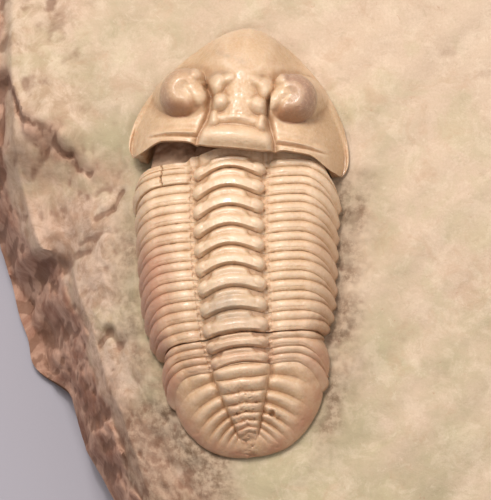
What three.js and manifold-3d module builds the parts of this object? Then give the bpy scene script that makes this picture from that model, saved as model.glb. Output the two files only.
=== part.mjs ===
// A trilobite fossil (Pterygometopus) lying on its own piece of limestone.
// Millimetres, +Z up, +Y towards the head. The origin is under the middle of the stone, on its flat base.
// The shield of the animal is made of its own sclerites: the head shield (cephalon), eleven thorax
// segments and the tail shield (pygidium). They rest on the stone with a hairline gap between them.
import * as THREE from 'three';
import Module from 'manifold-3d';
import { mergeVertices } from 'three/addons/utils/BufferGeometryUtils.js';

// The stone: its size, and where the middle of the animal lies on it
const STONE_WIDTH = 48;
const STONE_LENGTH = 54;
const STONE_THICKNESS = 16;
const ANIMAL_AT = new THREE.Vector3(-1.5, 0, STONE_THICKNESS);
const HAIRLINE = 0.1;
const UNDERSIDE = 0.1;
const INFILL_DIP = 0.8;
const INFILL_LOW = 0.6;
const INFILL_END = 0.72;

// The thorax, from the head end (0) to the tail end (11), as [station, value] pairs
const SEGMENTS = 11;
const MIDDLE_X = [[0, -0.05], [2, -0.19], [5, -0.04], [8, 0.3], [11, 0.68]];
const MIDDLE_Y = [[-0.5, 7.65], [0, 6.95], [1, 5.5], [3, 2.47], [6, -2.1], [9, -6.76], [10, -7.88],
  [11, -9.05]];
const FRONT_MIDDLE = -0.5;
const FRONT_LEFT = -0.15;
const TURN = [[0, 2.6], [3, 4.8], [6, 4.5], [9, 5.7], [11, 7]];
const HALF_WIDTH = [[0, 7.95], [3, 7.75], [6, 7.45], [8, 6.95], [9, 6.35], [10, 6.4], [11, 5.75]];
const LEFT_NARROWER = [[0, 0.15], [2, 0.12], [4, 0.1], [6, 0.03], [8, 0.1], [9, 0.25], [10, 0], [11, 0]];
const AXIS_HALF = [[0, 2.95], [6, 2.85], [9, 2.65], [11, 2.3]];
const CREST = [[0, 5.15], [3, 5.65], [6, 5.8], [9, 5.35], [11, 4.5]];
const ARCH = [[0, 0.4], [1, 0.85], [3, 0.8], [6, 0.72], [8, 0.4], [9, 0.2], [11, 0.25]];
const SWEEP_RIGHT = [[0, 2.8], [1, 2.65], [3, 2.2], [6, 1.65], [8, 0.65], [9, 0], [10, 2], [11, 2.2]];
const SWEEP_LEFT = [[0, 1.3], [1, 1.5], [3, 1.9], [6, 2.1], [8, 1.55], [9, 0.6], [10, 1.9], [11, 2]];
const AXIS_DROP = 1.15;
const PLEURA_BULGE = 0.3;
const PLEURA_DROP = 0.3;
const TIP_HEIGHT = 0.4;
const FULCRUM = 0.76;
const AXIS_SHARE = 0.36;
const FULCRUM_SHARE = 0.66;
const SWEEP_SHARE = 0.6;
const SWEEP_POWER = 1.75;
const FLANK_START = 0.11;
const FLANK_TURN = 1.45;
const PLEURA_RELIEF = 0.17;
const PLEURA_GROOVE = [0.45, 0.4];
const FLANK_STRONGER = 1.1;
const FURROW_DEPTH = 0.13;

// The ring of a segment: heights in shares of its relief. On either side of its middle it is narrower, and
// at each end it has a round knob.
const RING = { relief: 0.5, low: -0.78, halfRing: 0.78, rise: 0.42, fall: 1.2 };
const RING_SIDE = { low: -0.95, rise: 1.2 };
const KNOB = { low: -0.85, height: 1.4, merge: 0.2 };
const KNOB_AT = { out: 0.785, halfWidth: 0.225, along: 0.59, halfLength: 0.37 };

// The head shield, in its own frame: y = 0 at the middle of its rear margin
const HEAD_AT = new THREE.Vector3(0.06, 7.62, 0.62);
const HEAD_TURN = -6;
const HEAD_ROLL = 4.5;
const HEAD_HALF = 8.55;
const HEAD_LENGTH = 10.4;
const HEAD_WIDEST_Y = 0.8;
const HEAD_CORNER = [7.75, -0.5];
const HEAD_MARGIN_SIDE = 0.25;
const HEAD_MARGIN_FRONT = 1;
const HEAD_RIM = 0.5;
const HEAD_OVERHANG = 0.9;
const HEAD_DOME = { half: 8.2, cheekTop: 5.15, cheekRim: 0.15, glabellaTop: 5.9, glabellaSpread: 3.4 };

// How far the axial furrow of the head is from the middle line, at each y
const AXIAL_FURROW = [[0, 3.08], [0.9, 2.92], [1.45, 2.72], [2.2, 2.44], [3, 2.28], [3.7, 2.27], [4.3, 2.45],
  [4.9, 2.74], [5.4, 3.05], [5.8, 3.4], [6.6, 4.4]];
const HEAD_FURROW = { depth: 0.6, width: 0.27, shallowFrom: 4.7, shallow: 5.6, end: 6.4 };

// The lobes at each side of the glabella: from an outer to an inner end, with their radii and heights
const LOBES = [
  { from: [2.08, 4.78], to: [1, 5.42], radius: 0.86, innerRadius: 0.66, height: 1.2, innerHeight: 0.88 },
  { from: [1.6, 3.45], to: [1, 3.6], radius: 0.8, innerRadius: 0.6, height: 1.16, innerHeight: 0.74 },
  { from: [1.95, 2.36], to: [1.86, 1.9], radius: 0.52, innerRadius: 0.52, height: 0.86, innerHeight: 0.86 },
  { from: [1.8, 2.2], to: [-0.1, 2.38], radius: 0.42, innerRadius: 0.42, height: 0.74, innerHeight: 0.74 },
];
const LOBE_MERGE = 0.2;
const LOBE_SINK = 0.12;
const FRONTAL_HEIGHT = 0.66;
const STEM = { height: 0.62, from: 1.3, to: 2.5, middle: 0.2, rear: 1.98 };
const SIDE_FURROWS = [{ y: 2.8, slant: 0, width: 0.22 }, { y: 4.2, slant: 0.16, width: 0.2 }];
const SIDE_FURROW_DEPTH = 0.45;
const OCCIPITAL = { half: 2.98, front: 1.86, rear: 0.2, bend: 0.05, height: 0.86 };
const REAR_FURROW = { y: 0.7, depth: 0.2, width: 0.13 };
const REAR_RIDGE = { y: 0.98, height: 0.13, width: 0.12 };

// The eyes: a high C, open inwards, round a low tongue of the cheek. Places are [outwards, forwards] from
// the middle of the eye, and the groove beside the tongue is given as [forwards, outwards] pairs.
const EYE = { x: 4.185, y: 4.38, lean: 0.037, stretch: 1.08, crest: 0.86, foot: 1.82, top: 6.12, wall: 2.3 };
const EYE_SHIFT = -0.235;
const EYE_ENDS = [
  { at: [-0.72, 1], radius: 0.76, low: 0.06 },
  { at: [-0.46, -0.96], radius: 0.86, low: 0.1 },
];
const EYE_END_DROP = 1.8;
const EYE_GROOVE = [[-1.3, -1.15], [-0.78, -0.88], [-0.42, -0.46], [0.04, -0.12], [0.3, -0.22], [0.5, -0.78],
  [0.72, -1.45]];
const TONGUE = { from: [-0.95, -0.05], to: [-1.25, -1.3], low: 0.2, rearLow: 0.8, radius: 0.8, round: 0.5 };

// The tail shield, in its own frame: y = 0 at the middle of its front margin
const TAIL_TURN = 5;
const TAIL_LENGTH = 6.35;
const TAIL_HALF = 5.55;
const TAIL_AXIS_LENGTH = 5.3;
const TAIL_AXIS_REAR = [-0.12, 0.62];
const TAIL_FIRST_RING = 0.65;
const TAIL_RING_REACH = 6.9;
const TAIL_RING_RATIO = 0.875;
const TAIL_MARGIN = 0.4;
const TAIL_RING_ARCH = 0.5;
const TAIL_RING_RELIEF = 0.44;
const TAIL_RIB_RELIEF = 0.36;

// The broken left side of the stone: the front edge of its lower part as [x, y] pairs, and the ridge above
// the steep break as [y, x] pairs
const STEP_LINE = [[-18.46, 16.43], [-17.69, 14.45], [-16.91, 12.32], [-14.98, 11.4], [-13.59, 10.19],
  [-12.43, 9.37], [-11.6, 8.6]];
const RIDGE_LINE = [[-18.2, -7], [-11.12, -9.34], [-9.29, -10.35], [-6.44, -11.2], [-4.07, -11.82],
  [-2.01, -12.75], [-0.2, -13.2], [1.2, -13.67], [2.1, -14.9], [2.47, -16.07], [4.6, -16.9], [8, -17.8]];
const STEP_ENDS = [-15, -9.5];
const STEP_DROP = 1.3;
const FACE_SLOPE = 1.5;
const LEFT_SLOPE = { from: -7.5, slope: 0.3, frontY: 7, endY: 11 };
const REAR_SLOPE = { slope: 0.4, x: -3.5, y: -14, way: [-0.8, -0.6] };
const STONE_BOX = { half: 25, longer: 1.12, power: 5 };
const STONE_RIPPLES = [[0.006, 5, 1], [0.01, 11, 2], [0.008, 17, 0]];
const STONE_CUT = { distance: 19.4, way: [-0.879, -0.476] };
const STONE_BULGES = [{ angle: 183, width: 7, out: 0.9 }, { angle: 193, width: 5, out: 0.8 },
  { angle: 204, width: 6, out: -0.5 }];

// The mesh steps
const SEGMENT_ROWS = [0, 0.13, 0.32, 0.5, 0.68, 0.87, 1];
const SEGMENT_COLUMNS = [0, 0.13, 0.22, 0.29, 0.35, 0.38, 0.52, 0.66, 0.76, 0.88, 1];
const HEAD_ROWS = [0, 0.025, 0.065, 0.11, 0.14, 0.19, 0.23, 0.265, 0.3, 0.335, 0.37, 0.405, 0.44, 0.475,
  0.515, 0.565, 0.615, 0.69, 0.78, 0.86, 0.93, 0.97, 1];
const HEAD_COLUMNS = 46;
const TAIL_ROWS = 18;
const TAIL_COLUMNS = 13;
const STONE_SPOKES = 48;
const STONE_RINGS = [0.1, 0.22, 0.34, 0.46, 0.58, 0.7, 0.8, 0.9, 1];
const STONE_SIDES = [0.35, 0.7, 1];

const DEG = Math.PI / 180;
const clamp = (v, low, high) => Math.min(Math.max(v, low), high);
const lerp = (a, b, t) => a + (b - a) * t;
const step = (from, to, v) => THREE.MathUtils.smoothstep(v, from, to);
const bell = (distance, width) => Math.exp(-((distance / width) ** 2));

// The value at one station, straight between the pairs
function at(pairs, station) {
  let i = 0;
  while (i < pairs.length - 2 && station > pairs[i + 1][0]) i += 1;
  const [s0, v0] = pairs[i];
  const [s1, v1] = pairs[i + 1];
  return lerp(v0, v1, clamp((station - s0) / (s1 - s0), 0, 1));
}

// The larger of two heights, with a rounded valley where they meet
function union(a, b, round) {
  const h = clamp(0.5 + (0.5 * (a - b)) / round, 0, 1);
  return lerp(b, a, h) + round * h * (1 - h);
}

// A round lump and a softer one: 1 in the middle, 0 at the rim and beyond
const lump = (share) => Math.max(0, 1 - share * share) ** 0.6;
const swelling = (share) => Math.max(0, 1 - share * share) ** 1.1;

// The distance of a place from the line between two points, and how far along that line it is
function fromLine(x, y, [x0, y0], [x1, y1]) {
  const [dx, dy] = [x1 - x0, y1 - y0];
  const along = clamp(((x - x0) * dx + (y - y0) * dy) / (dx * dx + dy * dy), 0, 1);
  return [Math.hypot(x - x0 - along * dx, y - y0 - along * dy), along];
}

// One closed solid from a grid of top points. The border of the grid goes down through each of the lower
// loops, and the last loop is filled. Points that coincide, as along a seam, are one point.
function solidUnder(grid, lowerLoops, seam = false) {
  const points = [];
  const faces = [];
  const id = grid.map((row) => row.map((p) => points.push(p) - 1));
  const last = id.length - 1;
  const end = id[0].length - 1;
  if (seam) for (let i = 0; i < end / 2; i += 1) id[last][i] = id[last][end - i];
  const face = (a, b, c) => {
    if (a !== b && b !== c && c !== a) faces.push(a, b, c);
  };
  for (let r = 0; r < last; r += 1) {
    for (let c = 0; c < end; c += 1) {
      face(id[r][c], id[r][c + 1], id[r + 1][c + 1]);
      face(id[r][c], id[r + 1][c + 1], id[r + 1][c]);
    }
  }
  let loop = [...id[0]];
  for (let r = 1; r <= last; r += 1) loop.push(id[r][end]);
  if (!seam) for (let c = end - 1; c > 0; c -= 1) loop.push(id[last][c]);
  for (let r = seam ? last - 1 : last; r > 0; r -= 1) loop.push(id[r][0]);
  for (const lower of lowerLoops) {
    const next = loop.map((i) => points.push(lower(points[i])) - 1);
    loop.forEach((a, i) => {
      const j = (i + 1) % loop.length;
      face(a, next[j], loop[j]);
      face(a, next[i], next[j]);
    });
    loop = next;
  }
  const flat = loop.map((i) => new THREE.Vector2(points[i].x, points[i].y));
  const flip = !THREE.ShapeUtils.isClockWise(flat);
  for (const [a, b, c] of THREE.ShapeUtils.triangulateShape(flat, [])) {
    face(loop[a], loop[flip ? c : b], loop[flip ? b : c]);
  }
  return outwards(points, faces);
}

// A geometry from points and faces, turned so that its faces point out
function outwards(points, faces) {
  let volume = 0;
  for (let i = 0; i < faces.length; i += 3) {
    const [a, b, c] = [points[faces[i]], points[faces[i + 1]], points[faces[i + 2]]];
    volume += a.dot(new THREE.Vector3().crossVectors(b, c));
  }
  const geometry = new THREE.BufferGeometry();
  const places = points.flatMap((p) => [p.x, p.y, p.z]);
  geometry.setAttribute('position', new THREE.Float32BufferAttribute(places, 3));
  geometry.setIndex(volume < 0 ? faces.reverse() : faces);
  return geometry;
}

// The thorax surface

// The cross section at one station: the distance from the middle line and the height
function section(across, station) {
  const share = Math.abs(across);
  const axis = at(AXIS_HALF, station);
  const half = at(HALF_WIDTH, station) - (across < 0 ? at(LEFT_NARROWER, station) : 0);
  const crest = at(CREST, station);
  const furrow = crest - AXIS_DROP;
  const fulcrum = FULCRUM * half;
  if (share < AXIS_SHARE) {
    const t = share / AXIS_SHARE;
    return [axis * t, furrow + AXIS_DROP * (1 - t ** 2.6) ** 0.6];
  }
  if (share < FULCRUM_SHARE) {
    const t = (share - AXIS_SHARE) / (FULCRUM_SHARE - AXIS_SHARE);
    const bulge = PLEURA_BULGE * Math.sin(Math.PI * t) * (1 - t * t);
    return [lerp(axis, fulcrum, t), furrow + bulge - PLEURA_DROP * t * t];
  }
  const turn = lerp(FLANK_START, FLANK_TURN, (share - FULCRUM_SHARE) / (1 - FULCRUM_SHARE));
  const reach = (half - fulcrum) / (Math.sin(FLANK_TURN) - Math.sin(FLANK_START));
  const drop = (furrow - PLEURA_DROP - TIP_HEIGHT) / Math.cos(FLANK_START);
  return [fulcrum + reach * (Math.sin(turn) - Math.sin(FLANK_START)), TIP_HEIGHT + drop * Math.cos(turn)];
}

// The height of a segment's relief: over the axis a ring with a half ring before it and a knob at each
// end, and on each pleura two bands
function segmentRelief(share, along) {
  const t = share / AXIS_SHARE;
  const broad = RING.low + RING.halfRing * step(-0.02, 0.2, along) + RING.rise * step(0.3, 0.68, along);
  const narrow = RING_SIDE.low + RING_SIDE.rise * step(0.16, 0.5, along);
  const ring = lerp(broad, narrow, step(0.4, 0.64, t)) - RING.fall * step(0.86, 1, along);
  const middle = lerp(ring, KNOB.low, step(0.76, 0.96, t));
  const { out, halfWidth, along: knobAlong, halfLength } = KNOB_AT;
  const aside = Math.hypot((t - out) / halfWidth, (along - knobAlong) / halfLength);
  const onAxis = RING.relief * union(middle, KNOB.low + KNOB.height * lump(aside), KNOB.merge);
  const groove = lerp(...PLEURA_GROOVE, step(0.68, 1.02, share));
  const inBand = along < groove ? along / groove : (along - groove) / (1 - groove);
  const band = Math.max(0, Math.sin(Math.PI * clamp(inBand, 0, 1))) ** 0.6 - 0.5;
  const onPleura = PLEURA_RELIEF * band * (1 + FLANK_STRONGER * step(0.76, 0.98, share));
  const furrow = FURROW_DEPTH * bell(share - AXIS_SHARE, 0.02);
  return lerp(onAxis, onPleura, step(0.98, 1.03, t)) - furrow;
}

// A point of the thorax: across runs from -1 (left tip) to 1 (right tip)
function thoraxPoint(across, station, relief) {
  const share = Math.abs(across);
  const side = Math.sign(across);
  const [out, height] = section(across, station);
  const [outNext, heightNext] = section((across < 0 ? -1 : 1) * (share + 0.01), station);
  const slope = Math.hypot(outNext - out, heightNext - height);
  const lateral = side * (out - (relief * (heightNext - height)) / slope);
  const up = height + (relief * (outNext - out)) / slope;
  const arch = at(ARCH, station) * Math.cos((Math.PI / 2) * Math.min(1, share / AXIS_SHARE)) ** 1.6;
  const beyond = clamp((share - SWEEP_SHARE) / (1 - SWEEP_SHARE), 0, 1);
  const sweep = at(side > 0 ? SWEEP_RIGHT : SWEEP_LEFT, station) * beyond ** SWEEP_POWER;
  const turn = at(TURN, station) * DEG;
  const forward = arch - sweep;
  return new THREE.Vector3(
    at(MIDDLE_X, station) + lateral * Math.cos(turn) - forward * Math.sin(turn),
    at(MIDDLE_Y, station) + lateral * Math.sin(turn) + forward * Math.cos(turn),
    up,
  );
}

const downTo = (height) => (p) => new THREE.Vector3(p.x, p.y, height);
const bothSides = (columns) => [...columns.slice(1).reverse().map((v) => -v), ...columns];

// The front of the first segment reaches under the head shield, but not on the left side
function thoraxFront(across) {
  if (across < 0) return lerp(FRONT_MIDDLE, FRONT_LEFT, step(AXIS_SHARE, AXIS_SHARE + 0.06, -across));
  return lerp(FRONT_MIDDLE, 0, step(FULCRUM_SHARE, 0.9, across));
}

function thoraxSegment(number) {
  const across = bothSides(SEGMENT_COLUMNS);
  const pitch = at(MIDDLE_Y, number - 1) - at(MIDDLE_Y, number);
  const trim = HAIRLINE / 2 / pitch;
  const grid = SEGMENT_ROWS.map((row) => across.map((a) => {
    const along = lerp(number > 1 ? trim : thoraxFront(a), 1 - trim, row);
    return thoraxPoint(a, number - 1 + along, segmentRelief(Math.abs(a), Math.max(0, along)));
  }));
  return solidUnder(grid, [downTo(UNDERSIDE)]);
}

// The head shield

// The outline from one rear corner round the front to the other, as a list of points
function headOutline() {
  const half = [];
  const [cornerX, cornerY] = HEAD_CORNER;
  for (let i = 0; i <= 8; i += 1) {
    const t = (i / 8) * 90 * DEG;
    half.push([lerp(cornerX, HEAD_HALF, Math.sin(t)), lerp(HEAD_WIDEST_Y, cornerY, Math.cos(t))]);
  }
  for (let i = 1; i <= 60; i += 1) {
    const t = (i / 60) * 90 * DEG;
    const reach = HEAD_LENGTH - HEAD_WIDEST_Y;
    half.push([HEAD_HALF * Math.cos(t) ** (2 / 1.5), HEAD_WIDEST_Y + reach * Math.sin(t) ** (2 / 1.7)]);
  }
  const left = half.map(([x, y]) => new THREE.Vector2(-x, y));
  const right = half.slice(0, -1).reverse().map(([x, y]) => new THREE.Vector2(x, y));
  return [...left, ...right];
}

const HEAD_EDGE = headOutline();
const HEAD_EDGE_AT = HEAD_EDGE.map(() => 0);
HEAD_EDGE.forEach((p, i) => {
  if (i) HEAD_EDGE_AT[i] = HEAD_EDGE_AT[i - 1] + p.distanceTo(HEAD_EDGE[i - 1]);
});

// The outline point at a share of its length
function headEdgeAt(share) {
  const length = share * HEAD_EDGE_AT.at(-1);
  let i = 1;
  while (i < HEAD_EDGE.length - 1 && HEAD_EDGE_AT[i] < length) i += 1;
  const t = (length - HEAD_EDGE_AT[i - 1]) / (HEAD_EDGE_AT[i] - HEAD_EDGE_AT[i - 1]);
  return HEAD_EDGE[i - 1].clone().lerp(HEAD_EDGE[i], t);
}

// The rear margin: straight behind the glabella and cheeks, bending back to the rear corners
function headRearAt(x) {
  const out = Math.abs(x);
  return 0.3 * step(2, 4, out) - 0.75 * step(5.6, 7.6, out);
}

// The smooth height of the head shield before its relief
function headDome(x, share, edge) {
  const out = Math.abs(x) / HEAD_DOME.half;
  const cheek = lerp(HEAD_DOME.cheekRim, HEAD_DOME.cheekTop, Math.max(0, 1 - out ** 4.5) ** 0.8);
  const middle = 1 - step(1.5, 4.5, Math.abs(edge));
  const top = lerp(cheek, HEAD_DOME.glabellaTop, bell(x, HEAD_DOME.glabellaSpread));
  const margin = lerp(HEAD_MARGIN_SIDE, HEAD_MARGIN_FRONT, 1 - step(2, 6, Math.abs(edge)));
  const power = lerp(2.2, 2.9, middle);
  return margin + (top - margin) * Math.max(0, 1 - share ** power) ** lerp(0.95, 0.62, middle);
}

// A lobe: a round-ended bar, as a height over what is round it
function lobeRelief(out, y, { from, to, radius, innerRadius, height, innerHeight }) {
  const [distance, along] = fromLine(out, y, from, to);
  return lerp(height, innerHeight, along) * swelling(distance / lerp(radius, innerRadius, along));
}

// The occipital ring, at the rear of the glabella
function occipitalRelief(out, y) {
  const front = OCCIPITAL.front - OCCIPITAL.bend * out ** 2;
  const half = (front - OCCIPITAL.rear) / 2;
  const side = Math.min(1, out / OCCIPITAL.half);
  return OCCIPITAL.height * lump((y - OCCIPITAL.rear - half) / half) * Math.sqrt(1 - side ** 8);
}

// The glabella behind its frontal lobe, as a height above the dome
function glabellaRelief(out, y) {
  const rear = STEM.rear - OCCIPITAL.bend * out ** 2;
  const rounded = STEM.height * (1 - step(STEM.from, STEM.to, out)) + STEM.middle * (1 - step(0.4, 1.7, out));
  const stem = rounded * step(rear - 0.2, rear + 0.35, y);
  const furrows = SIDE_FURROWS.map((f) => bell(y - f.y - f.slant * (out - 1), f.width) * step(1.15, 2, out));
  const start = stem - SIDE_FURROW_DEPTH * (furrows[0] + furrows[1]);
  const lobes = LOBES.map((lobe) => lobeRelief(out, y, lobe));
  const height = [...lobes, occipitalRelief(out, y)].reduce((a, b) => union(a, b, LOBE_MERGE), start);
  return height - LOBE_SINK;
}

// The eye, as a height in the head's own frame
function eyeHeight(x, y) {
  const dx = Math.abs(x - EYE_SHIFT) - EYE.x;
  const dy = (y - EYE.y - EYE.lean * x) / EYE.stretch;
  const r = Math.hypot(dx, dy);
  const down = clamp((r - EYE.crest) / (EYE.foot - EYE.crest), 0, 1);
  const wall = EYE.wall * (1 - Math.sqrt(1 - down * down)) + 4 * Math.max(0, r - EYE.foot);
  const inside = at(EYE_GROOVE, dy) - dx;
  const drum = EYE.top - wall - 0.16 * (1 - step(0.2, EYE.crest, r)) - 0.7 * step(-0.1, 0.9, inside);
  const ends = EYE_ENDS.map(({ at: [outwards, forwards], radius, low }) => {
    const away = Math.hypot(dx - outwards, dy - forwards) / radius;
    const round = 1 - Math.sqrt(1 - Math.min(1, away) ** 2);
    return EYE.top - low - EYE_END_DROP * round - 4 * radius * Math.max(0, away - 1);
  });
  const [reach, along] = fromLine(dx, dy, TONGUE.from, TONGUE.to);
  const fall = TONGUE.round * (reach / TONGUE.radius) ** 3;
  const tongue = EYE.top - lerp(TONGUE.low, TONGUE.rearLow, along) - fall;
  return [...ends, tongue].reduce((a, b) => union(a, b, 0.25), drum);
}

function headHeight(x, y, share, edge) {
  const out = Math.abs(x - 0.05);
  const furrowAt = at(AXIAL_FURROW, y);
  const inside = 1 - step(furrowAt - 0.3, furrowAt + 0.05, out);
  const aside = step(0.6, 1.8, out);
  const onFrontal = step(lerp(4.4, 5.45, aside), lerp(6.4, 6.5, aside), y - 0.06 * (out - 1.5));
  const frontal = onFrontal * (1 - step(2.8, 5.8, out + 0.5 * Math.max(0, y - 6.5)));
  const shallow = 1 - 0.9 * step(HEAD_FURROW.shallowFrom, HEAD_FURROW.shallow, y);
  const furrowEnd = 1 - step(HEAD_FURROW.shallow, HEAD_FURROW.end, y);
  const furrow = HEAD_FURROW.depth * bell(out - furrowAt, HEAD_FURROW.width) * shallow * furrowEnd;
  const lobes = inside * glabellaRelief(out, y) * (1 - step(6, 7, y));
  const plain = headDome(x, share, edge) + union(lobes, FRONTAL_HEIGHT * frontal, 0.2) - furrow;
  const eyeRange = step(2.35, 2.6, out + 0.3 * (1 - step(2.6, 3.6, y))) * step(1.6, 2.2, y);
  const height = lerp(plain, union(plain, eyeHeight(x, y), 0.16), eyeRange);
  const besideAxis = step(2.95, 3.3, out) * (1 - step(5.6, 7, out));
  const ridge = REAR_RIDGE.height * bell(y - REAR_RIDGE.y, REAR_RIDGE.width);
  const rearFurrow = REAR_FURROW.depth * bell(y - REAR_FURROW.y, REAR_FURROW.width);
  const atSide = step(4.6, 7.4, Math.abs(edge));
  const sideBorder = 0.1 * (bell(share - 0.95, 0.06) - bell(share - 0.86, 0.05)) * atSide;
  return height + besideAxis * (ridge - rearFurrow) + sideBorder;
}

const headPlace = new THREE.Matrix4().compose(
  HEAD_AT,
  new THREE.Quaternion().setFromEuler(new THREE.Euler(0, HEAD_ROLL * DEG, HEAD_TURN * DEG, 'ZYX')),
  new THREE.Vector3(1, 1, 1),
);
const headBack = headPlace.clone().invert();

// The rim goes straight down. Behind the rear margin the shield is hollowed, so the rim overhangs.
function headUnderRim(p) {
  const q = p.clone().applyMatrix4(headBack);
  const rim = HEAD_RIM * step(0.4, 3, q.z) + 0.1;
  q.z -= Math.min(rim, q.z * 0.6);
  return q.applyMatrix4(headPlace);
}
const headOverhang = (x) => HEAD_OVERHANG * (1 - step(6.6, 7.6, Math.abs(x)));
function headHollow(p) {
  const q = p.clone().applyMatrix4(headBack);
  q.y += headOverhang(q.x) * (1 - step(0.6, 1.6, q.y));
  q.x *= 1 - 0.05 * step(6.5, 8, Math.abs(q.x));
  q.y -= 0.4 * step(8, 10, q.y);
  q.z -= 0.05;
  const world = q.applyMatrix4(headPlace);
  world.z = Math.max(world.z, UNDERSIDE + 0.02);
  return world;
}

function cephalon() {
  const grid = HEAD_ROWS.map((share) => {
    const row = [];
    for (let c = 0; c <= HEAD_COLUMNS; c += 1) {
      const across = lerp(-1, 1, c / HEAD_COLUMNS);
      const rearX = 7.5 * (0.8 * across + 0.2 * across ** 3);
      const edge = headEdgeAt(lerp(0.012, 0.988, 0.5 + 0.5 * (0.85 * across + 0.15 * across ** 3)));
      const x = lerp(rearX, edge.x, share);
      const y = lerp(headRearAt(rearX), edge.y, share);
      row.push(new THREE.Vector3(x, y, headHeight(x, y, share, edge.x)).applyMatrix4(headPlace));
    }
    return row;
  });
  return solidUnder(grid, [headUnderRim, headHollow, downTo(UNDERSIDE)]);
}

// The tail shield

// How many rings lie in front of a place on the axis
function tailRings(y) {
  const reach = clamp(1 - (-y - TAIL_FIRST_RING) / TAIL_RING_REACH, 0.05, 2);
  return 1 + Math.log(reach) / Math.log(TAIL_RING_RATIO);
}

function pygidium() {
  const front = thoraxPoint(0, SEGMENTS, 0);
  const turn = TAIL_TURN * DEG;
  const arch = at(ARCH, SEGMENTS);
  const middle = new THREE.Vector3(at(MIDDLE_X, SEGMENTS), at(MIDDLE_Y, SEGMENTS) - HAIRLINE / 2, 0);
  const place = new THREE.Matrix4().makeRotationZ(turn).setPosition(middle);
  const back = place.clone().invert();
  const frontLine = (across) => thoraxPoint(across, SEGMENTS, -0.05).setY(
    thoraxPoint(across, SEGMENTS, -0.05).y - HAIRLINE / 2,
  ).applyMatrix4(back);
  const grid = [];
  for (let r = 0; r <= TAIL_ROWS; r += 1) {
    const t = r / TAIL_ROWS;
    const row = [];
    for (let c = -TAIL_COLUMNS; c <= TAIL_COLUMNS; c += 1) {
      const across = c / TAIL_COLUMNS;
      row.push(tailPoint(across, t, frontLine, arch).applyMatrix4(place));
    }
    grid.push(row);
  }
  return solidUnder(grid, [downTo(UNDERSIDE)], true);
}

// A point of the tail shield: t runs from its front margin to the end of its axis
function tailPoint(across, t, frontLine, arch) {
  const share = Math.abs(across);
  const side = across < 0 ? -1 : 1;
  const corner = frontLine(side);
  const angle = t * 90 * DEG;
  const width = lerp(Math.abs(corner.x), TAIL_HALF, Math.sin(2 * angle) ** 2);
  const edgeX = side * width * Math.cos(angle) ** 0.85;
  const edgeY = lerp(corner.y, -TAIL_LENGTH, Math.sin(angle) ** 1.25);
  const rootY = -TAIL_AXIS_LENGTH * t ** 1.1;
  const bendX = 0.6 * edgeX;
  const bendY = lerp(rootY, edgeY, 0.18);
  const u = share;
  const plain = new THREE.Vector2(
    2 * u * (1 - u) * bendX + u * u * edgeX,
    (1 - u) ** 2 * rootY + 2 * u * (1 - u) * bendY + u * u * edgeY,
  );
  const from = frontLine(across);
  const near = (1 - t) ** 6;
  const x = lerp(plain.x, from.x, near);
  const y = lerp(plain.y, from.y, near);
  const domeTop = lerp(at(CREST, SEGMENTS) - AXIS_DROP + 0.15, 1.5, step(0, 1.1, t));
  const dome = TAIL_MARGIN + (domeTop - TAIL_MARGIN) * Math.max(0, 1 - share ** 2.6) ** 0.75;
  const down = clamp(-y / TAIL_AXIS_LENGTH, 0, 1);
  const axisHalf = lerp(at(AXIS_HALF, SEGMENTS), TAIL_AXIS_REAR[1], down ** 1.1);
  const axisFade = 1 - step(0.86, 1.02, -y / TAIL_AXIS_LENGTH);
  const onAxis = Math.abs(x - TAIL_AXIS_REAR[0] * down) / axisHalf;
  const axis = AXIS_DROP * Math.max(0, 1 - onAxis ** 2.6) ** 0.6 * lerp(1, 0.4, t) * axisFade;
  const arched = lerp(TAIL_RING_ARCH, arch, t);
  const rings = tailRings(rootY + arched * (1 - Math.min(1, onAxis) ** 2.4));
  const wave = Math.abs(Math.sin(Math.PI * rings)) ** 0.8 - 0.5;
  const ring = TAIL_RING_RELIEF * wave * axisFade * (1 - step(0.86, 1, onAxis)) * (1 - 0.6 * t);
  const ribFade = (1 - step(0.45, 1, share)) * (1 - step(0.65, 0.95, t));
  const rib = TAIL_RIB_RELIEF * wave * ribFade * step(0.95, 1.08, onAxis);
  const furrow = 0.2 * bell(onAxis - 1, 0.14) * axisFade;
  const plainHeight = dome + axis + ring + rib - furrow;
  return new THREE.Vector3(x, y, lerp(plainHeight, Math.max(from.z, TAIL_MARGIN), near));
}

// The stone

// The height of the stone round the animal, above the level it lies on
function stoneHeight(x, y) {
  const waves = 0.28 * Math.sin(0.45 * x + 0.8) * Math.sin(0.38 * y + 0.3)
    + 0.16 * Math.sin(1.1 * x - 0.4 * y) * Math.sin(0.9 * y + 1.4);
  const behindFront = 1 - step(LEFT_SLOPE.frontY, LEFT_SLOPE.endY, y);
  const leftSlope = LEFT_SLOPE.slope * Math.max(0, LEFT_SLOPE.from - x) * behindFront;
  const rearWay = REAR_SLOPE.way[0] * (x - REAR_SLOPE.x) + REAR_SLOPE.way[1] * (y - REAR_SLOPE.y);
  const beyondStep = 0.75 * (at(STEP_LINE, x) - y);
  const dropped = STEP_DROP * step(-0.1, 0.9, beyondStep) + 0.15 * clamp(beyondStep, 0, 4);
  const shelf = (1 - step(...STEP_ENDS, x)) * dropped;
  const face = FACE_SLOPE * Math.max(0, 0.94 * (at(RIDGE_LINE, y) - x));
  return waves - leftSlope - REAR_SLOPE.slope * Math.max(0, rearWay) - shelf - face;
}

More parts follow.
